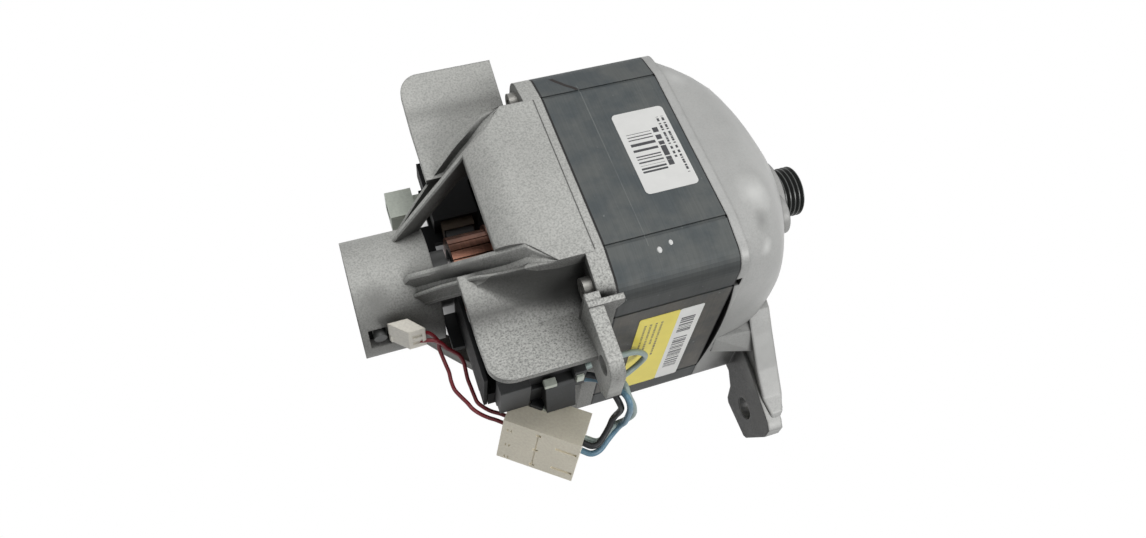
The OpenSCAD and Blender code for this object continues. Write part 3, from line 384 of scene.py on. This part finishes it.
def print_on(name, paper, ink, marks):
    """Paper with plain generic print: each mark is a box, a scale and a level of its uneven bars."""
    t = Tree(name)
    x, y = t.axis("X"), t.axis("Y")
    base = t.ramp(t.noise(120.0, 3.0), [(0.3, shade(paper, 0.96)), (0.7, shade(paper, 1.03))])
    for x0, x1, y0, y1, scale, level in marks:
        box = t.times(t.inside(x, x0 * MM, x1 * MM), t.inside(y, y0 * MM, y1 * MM))
        base = t.mix(t.times(box, t.broken(y, scale, level)), base, ink)
    t.set("Base Color", base)
    t.set("Roughness", 0.45)
    t.bump(t.noise(700.0, 3.0), 0.02 * MM)
    return t.material


def winding(name, colour):
    """Enamelled wire laid side by side under varnish."""
    t = Tree(name)
    lines = t.noise(1.0, 2.0, 0.5, (900.0, 900.0, 900.0))
    t.set("Base Color", t.ramp(lines, [(0.3, shade(colour, 0.5)), (0.7, shade(colour, 1.3))]))
    t.set("Roughness", t.ramp(lines, [(0.3, 0.25), (0.7, 0.4)]))
    t.bump(lines, 0.3 * MM)
    return t.material


def copper(name, colour):
    """Copper bars polished by the brushes, with brown heat marks."""
    t = Tree(name)
    track = t.noise(1.0, 3.0, 0.6, (1400.0, 60.0, 60.0))
    heat = t.noise(140.0, 4.0)
    base = t.ramp(track, [(0.3, shade(colour, 0.75)), (0.7, shade(colour, 1.15))])
    t.set("Base Color", t.mix(t.ramp(heat, [(0.45, 0.0), (0.7, 0.6)]), base, shade(colour, 0.45)))
    t.set("Metallic", 0.9)
    t.set("Roughness", t.ramp(track, [(0.3, 0.28), (0.7, 0.45)]))
    t.bump(track, 0.03 * MM)
    return t.material


SLOTS = {
    "lamination_steel": lamination("lamination_steel", (0.117, 0.125, 0.122)),
    "enamel_copper": winding("enamel_copper", (0.16, 0.06, 0.025)),
    "insulator_plastic": plain("insulator_plastic", (0.5, 0.47, 0.38), 0.5),
    # The castings get painted shade on faces that look to the near side and the rear, painted highlights and
    # shade at spots, and painted shade in hollows; the rear one also along its wings
    "front_aluminium": cast_aluminium(
        "front_aluminium", (0.5, 0.5, 0.485), speckle=0.09, rough=0.42, depth=0.03, edge=1.4,
        near_face_shade=0.25, back=0.97, spots=FRONT_SPOTS, swell=26.0),
    "cast_aluminium": cast_aluminium(
        "cast_aluminium", (0.5, 0.5, 0.475), speckle=0.4, rough=0.58, depth=0.12, edge=1.0,
        near_face_shade=0.6, back=0.1, spots=REAR_SPOTS, folds=WING_FOLDS),
    "zinc_steel": plain("zinc_steel", (0.24, 0.235, 0.22), 0.45, 0.8),
    "bearing_steel": plain("bearing_steel", (0.45, 0.46, 0.47), 0.28, 0.9),
    "ball_steel": plain("ball_steel", (0.55, 0.56, 0.57), 0.12, 1.0),
    "shaft_steel": plain("shaft_steel", (0.42, 0.42, 0.42), 0.3, 0.9),
    "moulded_black": plain("moulded_black", (0.013, 0.0135, 0.014), 0.6, gloss=0.12),
    "collar_plastic": plain("collar_plastic", (0.07, 0.072, 0.07), 0.5),
    "commutator_copper": copper("commutator_copper", (0.2, 0.095, 0.065)),
    "pulley_steel": plain("pulley_steel", (0.068, 0.071, 0.068), 0.36, 0.3),
    "brass_tube": plain("brass_tube", (0.05, 0.036, 0.024), 0.5, 0.6),
    "carbon": plain("carbon", (0.02, 0.02, 0.02), 0.6),
    "spring_steel": plain("spring_steel", (0.4, 0.4, 0.4), 0.3, 0.9),
    "terminal_sleeve": plain("terminal_sleeve", (0.62, 0.66, 0.58), 0.45),
    "ferrite": plain("ferrite", (0.05, 0.045, 0.04), 0.6),
    "white_plug": plain("white_plug", (0.78, 0.74, 0.65), 0.42, spread=0.05, edge=0.6 * MM),
    # The bracket plastic gets painted shade in its hollows
    "bracket_plastic": plain("bracket_plastic", (0.075, 0.077, 0.078), 0.55, gloss=0.3, hollow=30.0 * MM),
    "cream_plug": plain("cream_plug", (0.86, 0.79, 0.645), 0.42, spread=0.07),
    "red_wire": plain("red_wire", (0.2, 0.013, 0.02), 0.4),
    "black_wire": plain("black_wire", (0.018, 0.019, 0.021), 0.45, gloss=0.3),
    "blue_wire": plain("blue_wire", (0.13, 0.25, 0.34), 0.4),
    "grey_wire": plain("grey_wire", (0.3, 0.37, 0.35), 0.4),
}


# Castings: points closer than this are one, and edges sharper than this stay sharp
WELD_GAP, SHARP_ANGLE = 0.001 * MM, math.radians(32)


def smooth_faces():
    """Modifier nodes that shade every face smooth and leave the mesh itself as it is."""
    group = bpy.data.node_groups.new("smooth_faces", "GeometryNodeTree")
    for way in ("INPUT", "OUTPUT"):
        group.interface.new_socket("Geometry", in_out=way, socket_type="NodeSocketGeometry")
    kinds = ("NodeGroupInput", "GeometryNodeSetShadeSmooth", "NodeGroupOutput")
    start, smooth, end = (group.nodes.new(kind) for kind in kinds)
    group.links.new(start.outputs[0], smooth.inputs["Geometry"])
    group.links.new(smooth.outputs["Geometry"], end.inputs[0])
    return group


def smooth_castings():
    """Shades the lofted faces of both castings as smooth curves between their sharp edges."""
    group = smooth_faces()
    for name in ("front_shield", "rear_shield"):
        casting = nodes[name]
        casting.modifiers.new("smooth", "NODES").node_group = group
        casting.modifiers.new("weld", "WELD").merge_threshold = WELD_GAP
        casting.modifiers.new("split", "EDGE_SPLIT").split_angle = SHARP_ANGLE
        casting.modifiers.new("normals", "WEIGHTED_NORMAL")


def paint_nodes():
    """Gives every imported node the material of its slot."""
    for part in frame["record"]["subparts"]:
        data = nodes[part["node"]].data
        data.materials.clear()
        data.materials.append(SLOTS[part["material_slot"]])


# Wires: slot, diameter and route in millimetres
ROUTES = {
    "red_wire_outer": ("red_wire", 1.7, [
        (-184.5, -29.5, 13), (-180.5, -29, 10), (-177.5, -31, 5.5), (-177.5, -33, 2), (-177, -36, 0),
        (-176.5, -39.5, -1), (-176, -43, -2), (-176, -46, -4), (-175.5, -49.5, -5.5), (-174, -53, -5.5),
        (-172, -56.5, -6), (-170.5, -59, -7.5), (-168, -61.5, -9), (-165, -64, -9.5), (-162.5, -66, -9),
        (-159.5, -68.5, -9)]),
    "red_wire_inner": ("red_wire", 1.7, [
        (-184.5, -31, 9), (-179.5, -32.5, 9.5), (-176.5, -33.5, 7), (-174.5, -35, 4), (-172, -36.5, 2),
        (-170, -38, 0), (-169, -40.5, -2), (-169, -43.5, -4), (-169, -46.5, -6), (-168.5, -49.5, -8),
        (-168, -53, -9.5), (-167.5, -56, -10), (-165.5, -59, -10), (-163, -61.5, -10), (-160, -63.5, -10),
        (-157.5, -65.5, -10)]),
    "black_lead": ("black_wire", 2.6, [
        (-132, -86.5, -6.5), (-129, -89, -6.5), (-126, -89, -6.5), (-123, -87, -5.5), (-120, -84.5, -4),
        (-118, -82.5, -2), (-116.5, -82, 1), (-116, -82.5, 4.5), (-115.5, -82.5, 8.5), (-116.5, -81.5, 12.5),
        (-117.5, -79, 14.5), (-118, -75.5, 14.5), (-119, -72, 13.5), (-120.5, -69, 12.5), (-122.5, -67, 11.5),
        (-125, -65.5, 11)]),
    "blue_lead": ("blue_wire", 2.6, [
        (-132.5, -88, -11.5), (-129, -90.5, -11.5), (-125, -90, -11.5), (-120.5, -87, -11), (-117, -85, -9.5),
        (-115, -84.5, -6), (-113.5, -85, -1.5), (-113, -85, 4), (-113, -85, 10.5), (-113.5, -84, 15.5),
        (-114, -81.5, 17), (-114.5, -78, 14.5), (-115.5, -74, 10.5), (-118, -70.5, 8.5), (-121, -67.5, 8),
        (-125, -65.5, 7)]),
    "grey_lead": ("grey_wire", 2.6, [
        (-130, -84, -9.5), (-124.5, -87, -9.5), (-117.5, -83.5, -7), (-112.5, -83.5, -4), (-110, -84, 2),
        (-110.5, -83, 8.5), (-112, -80, 13), (-112, -76, 14), (-111.5, -72.5, 10), (-110.5, -69, 3),
        (-108, -65.5, -4), (-103.5, -63, -8), (-98, -61, -7), (-95, -60.5, -1.5), (-97, -61, 4.5),
        (-101.5, -61, 8.5), (-107.5, -61.5, 10.5), (-113.5, -61.5, 13), (-119, -63, 15), (-125, -64, 15)]),
}


def smooth_route(points, steps=6):
    """Points in metres along a smooth curve through the route's points."""
    p = [Vector(q) * MM for q in points]
    p = [p[0] * 2 - p[1]] + p + [p[-1] * 2 - p[-2]]
    line = []
    for i in range(1, len(p) - 2):
        for k in range(steps):
            u = k / steps
            line.append(0.5 * (2 * p[i] + (p[i + 1] - p[i - 1]) * u
                               + (2 * p[i - 1] - 5 * p[i] + 4 * p[i + 1] - p[i + 2]) * u * u
                               + (3 * p[i] - p[i - 1] - 3 * p[i + 1] + p[i + 2]) * u ** 3))
    return line + [p[-2]]


def round_wire(name, line, diameter, resolution):
    """Curve object that runs as a round wire along a line of points in metres."""
    data = bpy.data.curves.new(name, "CURVE")
    data.dimensions = "3D"
    data.bevel_depth = diameter / 2
    data.bevel_resolution = resolution
    data.use_fill_caps = True
    spline = data.splines.new("POLY")
    spline.points.add(len(line) - 1)
    for point, place in zip(spline.points, line):
        point.co = (*place, 1.0)
    obj = bpy.data.objects.new(name, data)
    scene.collection.objects.link(obj)
    return obj


def make_wires():
    """Curves for the five wires."""
    for name, (slot, diameter, points) in ROUTES.items():
        line = smooth_route(points)
        obj = round_wire(name + "_line", line, diameter * MM, 4)
        obj.data.materials.append(SLOTS[slot])
        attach(obj, "housing")
        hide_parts(name)


# Shapes, all from sizes in millimetres


def add_piece(name, mesh, material, place=None):
    """Adds a piece that rides on the housing."""
    obj = bpy.data.objects.new(name, mesh)
    mesh.materials.append(material)
    if place:
        obj.matrix_world = place
    scene.collection.objects.link(obj)
    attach(obj, "housing")
    return obj


def lay_on(corner, along, up):
    """Place whose X and Y run along a surface, from a corner."""
    along, up = Vector(along).normalized(), Vector(up).normalized()
    turn = Matrix((along, up, along.cross(up))).transposed().to_4x4()
    return Matrix.Translation(Vector(corner) * MM) @ turn


def sheet_mesh(name, width, height, radius, thick, steps=6):
    """Thin sheet with round corners, from the origin along X and Y."""
    right, top = width - radius, height - radius
    ring = []
    for quarter, (x, y) in enumerate(((right, top), (radius, top), (radius, radius), (right, radius))):
        for i in range(steps + 1):
            a = math.radians(90 * (quarter + i / steps))
            ring.append((x + radius * math.cos(a), y + radius * math.sin(a)))
    n = len(ring)
    points = [Vector((x, y, z)) * MM for z in (0.0, thick) for x, y in ring]
    faces = [tuple(range(n - 1, -1, -1)), tuple(range(n, 2 * n))]
    faces += [(i, (i + 1) % n, n + (i + 1) % n, n + i) for i in range(n)]
    mesh = bpy.data.meshes.new(name)
    mesh.from_pydata(points, [], faces)
    return mesh


def add_box(shape, low, high, place=Matrix()):
    """Adds a box between two corners, seen in the given place."""
    low, high = Vector(low) * MM, Vector(high) * MM
    size = Matrix.Diagonal((*(high - low), 1.0))
    bmesh.ops.create_cube(shape, size=1.0, matrix=place @ Matrix.Translation((low + high) / 2) @ size)


def add_loft(shape, first, last):
    """Adds a closed body between two rings of as many points."""
    ends = [[shape.verts.new(Vector(point) * MM) for point in ring] for ring in (first, last)]
    shape.faces.new(ends[0])
    shape.faces.new(ends[1][::-1])
    n = len(first)
    for i in range(n):
        j = (i + 1) % n
        shape.faces.new((ends[0][i], ends[1][i], ends[1][j], ends[0][j]))
    bmesh.ops.recalc_face_normals(shape, faces=shape.faces)


def to_mesh(name, shape):
    """Mesh of a finished shape."""
    mesh = bpy.data.meshes.new(name)
    shape.to_mesh(mesh)
    shape.free()
    return mesh


def final_mesh(name, obj):
    """Mesh of an object after its modifiers."""
    bpy.context.view_layer.update()
    mesh = bpy.data.meshes.new_from_object(obj.evaluated_get(bpy.context.evaluated_depsgraph_get()))
    mesh.name = name
    return mesh


def soften(obj, width):
    """Rounds a piece's edges by a width."""
    bevel = obj.modifiers.new("edges", "BEVEL")
    bevel.width = width * MM
    bevel.segments = 2
    bevel.limit_method = "ANGLE"


def carve(name, body, cutter):
    """Mesh of one shape with another cut out of it."""
    objects = [bpy.data.objects.new(name + "_cut", to_mesh(name + "_cut", s)) for s in (body, cutter)]
    for obj in objects:
        scene.collection.objects.link(obj)
    boolean = objects[0].modifiers.new("cut", "BOOLEAN")
    boolean.object = objects[1]
    boolean.solver = "EXACT"
    mesh = final_mesh(name, objects[0])
    for obj in objects:
        bpy.data.objects.remove(obj)
    return mesh


# Stickers and drops of paint

PAPER_THICK = 0.12
INK, FAINT_INK = (0.035, 0.035, 0.04), (0.18, 0.15, 0.05)

# Labels: name, material, width, height and corner radius, first corner, direction up, paper, ink and marks
LABELS = (
    ("top_label", "label_white", (23, 41.5, 2.0), (-88.2, -20.2, 61.05), (0, 1, 0),
     (0.86, 0.855, 0.83), INK, (
         (2.6, 13.4, 8.5, 30, 640.0, 0.52), (14.4, 16.8, 10, 31, 520.0, 0.42),
         (18.2, 19.2, 14, 36, 800.0, 0.47), (20.4, 21.4, 6, 36, 800.0, 0.47))),
    ("side_label", "label_yellow", (18, 68.5, 1.0), (-100.6, -57.05, -39.5), (0, 0, 1),
     (0.9, 0.76, 0.12), FAINT_INK, (
         (3, 4, 40, 62, 1500.0, 0.45), (5.5, 6.5, 38, 62, 1500.0, 0.45),
         (8, 9, 42, 62, 1500.0, 0.45), (10.5, 11.5, 30, 62, 1500.0, 0.45))),
    ("side_label_strip", "label_strip", (10.8, 68.5, 1.0), (-82.6, -57.05, -39.5), (0, 0, 1),
     (0.84, 0.835, 0.81), INK, (
         (2, 8.4, 46, 60, 800.0, 0.5), (2, 8.4, 10, 41, 800.0, 0.5))),
)

# Drops of paint: X, Y and radius, and the shoulder of the stack that they lie on
PAINT_DOTS = ((-92.3, -44.2, 1.3), (-87.0, -42.5, 1.1))
PAINT_SQUASH = (0.8, 1.0, 0.25)
SHOULDER_Y, SHOULDER_Z, SHOULDER_TILT = 38, 61, math.radians(15)


def make_stickers():
    """Labels of plain paper with generic print."""
    for name, material, size, corner, up, paper, ink, marks in LABELS:
        printed = print_on(material, paper, ink, marks)
        add_piece(name, sheet_mesh(name, *size, PAPER_THICK), printed, lay_on(corner, (1, 0, 0), up))


def make_paint_dots():
    """Two drops of white paint on the near shoulder of the stack."""
    paint = plain("paint_dots", (0.8, 0.8, 0.78), 0.4)
    for i, (x, y, radius) in enumerate(PAINT_DOTS):
        name = f"paint_dot_{i + 1}"
        shape = bmesh.new()
        bmesh.ops.create_uvsphere(shape, u_segments=16, v_segments=8, radius=radius * MM)
        bmesh.ops.scale(shape, verts=shape.verts, vec=PAINT_SQUASH)
        mesh = to_mesh(name, shape)
        mesh.shade_smooth()
        z = SHOULDER_Z - (abs(y) - SHOULDER_Y) * math.tan(SHOULDER_TILT)
        place = Matrix.Translation(Vector((x, y, z)) * MM) @ Matrix.Rotation(SHOULDER_TILT, 4, "X")
        add_piece(name, mesh, paint, place)


# Main plug: length, depth and height, upper front corner, and its three directions
PLUG = (33.0, 18.0, 23.5)
PLUG_CORNER = Vector((-160.7, -70.2, 0.0))
PLUG_ALONG = Vector((0.7997, -0.6004, 0.0))
PLUG_DEEP = Vector((0.571, 0.7606, -0.309))
PLUG_UP = Vector((0.1855, 0.2471, 0.9511))

# Chambers in the back of the plug: end walls, columns, and rows by share of the height
PLUG_WALL, CHAMBER_COLUMNS, CHAMBER_ROWS = 1.5, 4, (0.28, 0.72)

# Half width of a chamber by share of its column, its depth and half its height
CHAMBER_SHARE, CHAMBER_DEEP, CHAMBER_HALF = 0.36, 6, 3

# Cuts in the front of the plug, by low and high corners and depth: latch slots, seam, notches and small lugs
PLUG_CUTS = [
    ((23.2, -7.6), (32.2, -6.3), 0.9), ((23.2, -19.8), (32.2, -18.4), 0.9),
    ((15.0, -20.9), (15.5, -12.6), 0.45), ((15.0, -11.2), (15.5, -3.3), 0.45),
]
PLUG_CUTS += [((14.2, w - 0.6), (16.4, w + 0.6), 0.8) for w in (-2.6, -11.9, -21.6)]
PLUG_CUTS += [((u + k, w - 0.8), (u + k + 0.6, w + 0.8), 0.4)
              for u, w in ((2.2, -5.2), (2.5, -14.4), (3.0, -22.0)) for k in (0.0, 1.5)]


def at_plug():
    """Place of the plug, with X along it, Y into it and Z up."""
    turn = Matrix((PLUG_ALONG, PLUG_DEEP, PLUG_UP)).transposed().to_4x4()
    return Matrix.Translation(PLUG_CORNER * MM) @ turn


def make_plug():
    """Cream plug: chambers at the back, latch slots, a seam and small lugs marked into its front."""
    length, deep, tall = PLUG
    body, cutter = bmesh.new(), bmesh.new()
    add_box(body, (0, 0, -tall), (length, deep, 0))
    pitch = (length - 2 * PLUG_WALL) / CHAMBER_COLUMNS
    half = pitch * CHAMBER_SHARE
    for i in range(CHAMBER_COLUMNS):
        for row in CHAMBER_ROWS:
            u, w = PLUG_WALL + pitch * (i + 0.5), -tall * row
            add_box(cutter, (u - half, deep - CHAMBER_DEEP, w - CHAMBER_HALF),
                    (u + half, deep + 1, w + CHAMBER_HALF))
    for (u0, w0), (u1, w1), cut in PLUG_CUTS:
        add_box(cutter, (u0, -1, w0), (u1, cut, w1))
    obj = add_piece("main_plug", carve("main_plug", body, cutter), SLOTS["cream_plug"], at_plug())
    soften(obj, 0.25)
    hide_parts("main_connector")


# Bracket: back wall, rib, left panel and right post, the sloped plate's outline and ends, and its pale clips
BRACKET_BOXES = (
    ((-161.2, -62.4, -4.0), (-125.2, -60.0, 18.0)),
    ((-148.9, -64.5, -4.0), (-142.4, -62.3, 8.0)),
    ((-161.2, -67.0, -1.0), (-148.7, -62.3, 18.0)),
    ((-130.2, -66.4, 4.5), (-125.2, -62.3, 17.2)),
)
PLATE_OUTLINE = ((-60, 12), (-66.2, 12), (-67.4, 11), (-71.8, -2.6), (-60, -2.6))
PLATE_X = (-142.6, -130.0)
CLIP_BOXES = (
    ((-143.0, -67.4, 11.9), (-137.8, -64.0, 14.2)),
    ((-129.6, -67.6, 10.5), (-126.4, -66.0, 15.0)),
)

# Latch on the plug and its pale tip, in the plug's own directions
LATCH = ((7.6, 10.5, 0.0), (13.0, 15.5, 1.7))
LATCH_TIP = ((13.2, 10.8, 0.0), (15.0, 15.8, 1.3))


def make_bracket():
    """Bracket on the near brush holder: back wall, left panel, sloped plate over the plug and latch."""
    shape, pale = bmesh.new(), bmesh.new()
    for low, high in BRACKET_BOXES:
        add_box(shape, low, high)
    add_loft(shape, *([(x, y, z) for y, z in PLATE_OUTLINE] for x in PLATE_X))
    add_box(shape, *LATCH, at_plug())
    obj = add_piece("bracket_body", to_mesh("bracket_body", shape), SLOTS["bracket_plastic"])
    soften(obj, 0.3)
    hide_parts("terminal_bracket")
    for low, high in CLIP_BOXES:
        add_box(pale, low, high)
    add_box(pale, *LATCH_TIP, at_plug())
    obj = add_piece("bracket_clips", to_mesh("bracket_clips", pale), SLOTS["terminal_sleeve"])
    soften(obj, 0.3)


# End wall of the near brush holder, by low and high corner
HOLDER_WALL = ((-166.0, -60.0, -5.1), (-164.4, -14.5, 19.3))


def make_holder_wall():
    """Upright end wall of the near brush holder, on the holder's flange."""
    shape = bmesh.new()
    add_box(shape, *HOLDER_WALL)
    obj = add_piece("holder_end_wall", to_mesh("holder_end_wall", shape), SLOTS["moulded_black"])
    soften(obj, 0.4)


# Brush springs: how far a brush slides, the wire, and the play left when it is all the way out
BRUSH_TRAVEL, SPRING_WIRE, SPRING_PLAY = 8.0, 0.6, 0.05
SPRING_TURNS, SPRING_STEPS = 9, 24


def make_springs():
    """Brush springs wound as coils in the place of the CAD springs, which they hide."""
    wire, count = SPRING_WIRE * MM, SPRING_TURNS * SPRING_STEPS
    for side in ("near", "far"):
        low, high = (Vector(corner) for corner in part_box(f"brush_spring_{side}"))
        middle, length = (low + high) / 2, high.y - low.y
        radius = (high.x - low.x - wire) / 2
        coil = []
        for i in range(count + 1):
            a = 2 * math.pi * i / SPRING_STEPS
            y = low.y + wire / 2 + (length - wire) * i / count
            coil.append((middle.x + radius * math.cos(a), y, middle.z + radius * math.sin(a)))
        line = round_wire(f"spring_{side}_line", coil, wire, 2)
        mesh = final_mesh(f"spring_{side}", line)
        bpy.data.objects.remove(line)
        mesh.shade_smooth()
        obj = add_piece(f"spring_{side}", mesh, SLOTS["spring_steel"])
        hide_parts(f"brush_spring_{side}")
        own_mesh(obj)


# Web of the front foot: Y and Z round its outline, and the rear and front X at each point
FOOT_WEB = (
    (-43, -1.8, -40.7, -30.0), (-52.6, -5.3, -40.7, -30.0), (-60.7, -13.3, -40.7, -30.0),
    (-73.2, -24.8, -40.7, -30.0), (-83.5, -33.2, -40.0, -30.6), (-90.5, -35.9, -38.6, -32.4),
    (-93.2, -38.6, -38.6, -35.0), (-93.2, -44, -38.6, -35.0), (-86.6, -49.2, -38.6, -30.0),
    (-66.5, -48.2, -38.6, -30.0), (-43, -40.2, -40.7, -30.0),
)

# Gusset beside the web: X, and Y and Z round its rear and front end
GUSSET_REAR = (-57, ((-50, -13), (-56.6, -14.5), (-57.4, -25), (-57.2, -26.5), (-50, -26.5)))
GUSSET_FRONT = (-40, ((-50, -7), (-58.9, -12), (-64.6, -20.6), (-64.2, -22.2), (-50, -22.2)))


def make_foot_web():
    """Thick web that joins the front foot's plate to its rib, and a gusset beside it."""
    shape = bmesh.new()
    add_loft(shape, [(rear, y, z) for y, z, rear, front in FOOT_WEB],
             [(front, y, z) for y, z, rear, front in FOOT_WEB])
    add_loft(shape, *([(x, y, z) for y, z in outline] for x, outline in (GUSSET_REAR, GUSSET_FRONT)))
    obj = add_piece("foot_web", to_mesh("foot_web", shape), SLOTS["front_aluminium"])
    soften(obj, 0.6)


# Soft light from all round, and lamps by place, size across and power, in metres and watts
SKY_COLOUR, SKY_STRENGTH = (0.9, 0.95, 1.0, 1.0), 0.1
LAMP_TARGET = Vector((-0.08, 0.0, 0.0))
LAMPS = (
    ("key_light", (0.4, -0.85, 0.62), 0.5, 6.4),
    ("top_light", (-0.02, 0.15, 0.97), 0.6, 3.7),
    ("fill_light", (-0.75, 0.75, 0.4), 0.8, 1.8),
)

# Floor in metres: half its width, and the middle, half axes and tones of the painted shadow
FLOOR_HALF = 3.0
SHADOW_MIDDLE, SHADOW_HALF = (-0.113, 0.039), (0.076, 0.066)
SHADOW_TONES = [(0.25, 0.06), (0.5, 0.2), (0.68, 0.55), (0.84, 0.88), (1.0, 1.0)]


def seen_rays(tree):
    """One for rays that show the backdrop: straight to the camera, in gloss or through glass."""
    path = tree.nodes.new("ShaderNodeLightPath")
    total = path.outputs["Is Camera Ray"]
    for name in ("Is Glossy Ray", "Is Transmission Ray"):
        node = tree.nodes.new("ShaderNodeMath")
        node.operation = "MAXIMUM"
        tree.links.new(total, node.inputs[0])
        tree.links.new(path.outputs[name], node.inputs[1])
        total = node.outputs[0]
    return total


def make_world():
    """Soft light on the object, and plain white for rays that show the backdrop."""
    world = bpy.data.worlds.new("world")
    scene.world = world
    world.use_nodes = True
    tree = world.node_tree
    tree.nodes.clear()
    out = tree.nodes.new("ShaderNodeOutputWorld")
    mix = tree.nodes.new("ShaderNodeMixShader")
    tree.links.new(seen_rays(tree), mix.inputs["Fac"])
    for i, (colour, strength) in enumerate(((SKY_COLOUR, SKY_STRENGTH), (grey(1.0), 1.0))):
        light = tree.nodes.new("ShaderNodeBackground")
        light.inputs["Color"].default_value = colour
        light.inputs["Strength"].default_value = strength
        tree.links.new(light.outputs[0], mix.inputs[i + 1])
    tree.links.new(mix.outputs[0], out.inputs["Surface"])


def make_lights():
    """Lamps aimed at the middle of the motor."""
    for name, place, size, power in LAMPS:
        data = bpy.data.lights.new(name, "AREA")
        data.shape = "DISK"
        data.size = size
        data.energy = power
        lamp = bpy.data.objects.new(name, data)
        turn = (Vector(place) - LAMP_TARGET).to_track_quat("Z", "Y").to_matrix().to_4x4()
        lamp.matrix_world = Matrix.Translation(place) @ turn
        scene.collection.objects.link(lamp)


def make_floor():
    """White floor with a painted soft shadow under the motor."""
    low = cad_box[0][2]
    corners = ((-1, -1), (1, -1), (1, 1), (-1, 1))
    mesh = bpy.data.meshes.new("floor")
    mesh.from_pydata([(x * FLOOR_HALF, y * FLOOR_HALF, low) for x, y in corners], [], [(0, 1, 2, 3)])
    t = Tree("floor")
    t.set("Base Color", (0.8, 0.8, 0.8))
    t.set("Roughness", 0.9)
    across = t.math("DIVIDE", t.math("SUBTRACT", t.axis("X"), SHADOW_MIDDLE[0]), SHADOW_HALF[0])
    along = t.math("DIVIDE", t.math("SUBTRACT", t.axis("Y"), SHADOW_MIDDLE[1]), SHADOW_HALF[1])
    away = t.math("ADD", t.times(across, across), t.times(along, along))
    glow = t.add("ShaderNodeEmission")
    glow.inputs["Strength"].default_value = 1.0
    t.link(t.ramp(away, SHADOW_TONES), glow.inputs["Color"])
    mix = t.add("ShaderNodeMixShader")
    t.link(seen_rays(t.tree), mix.inputs["Fac"])
    t.link(t.shader.outputs[0], mix.inputs[1])
    t.link(glow.outputs[0], mix.inputs[2])
    t.link(mix.outputs[0], t.out.inputs["Surface"])
    mesh.materials.append(t.material)
    obj = bpy.data.objects.new("floor", mesh)
    scene.collection.objects.link(obj)


make_camera()
smooth_castings()
paint_nodes()
make_wires()
make_stickers()
make_paint_dots()
make_plug()
make_bracket()
make_holder_wall()
make_springs()
make_foot_web()
make_world()
make_lights()
make_floor()
scene.view_settings.view_transform = "Standard"
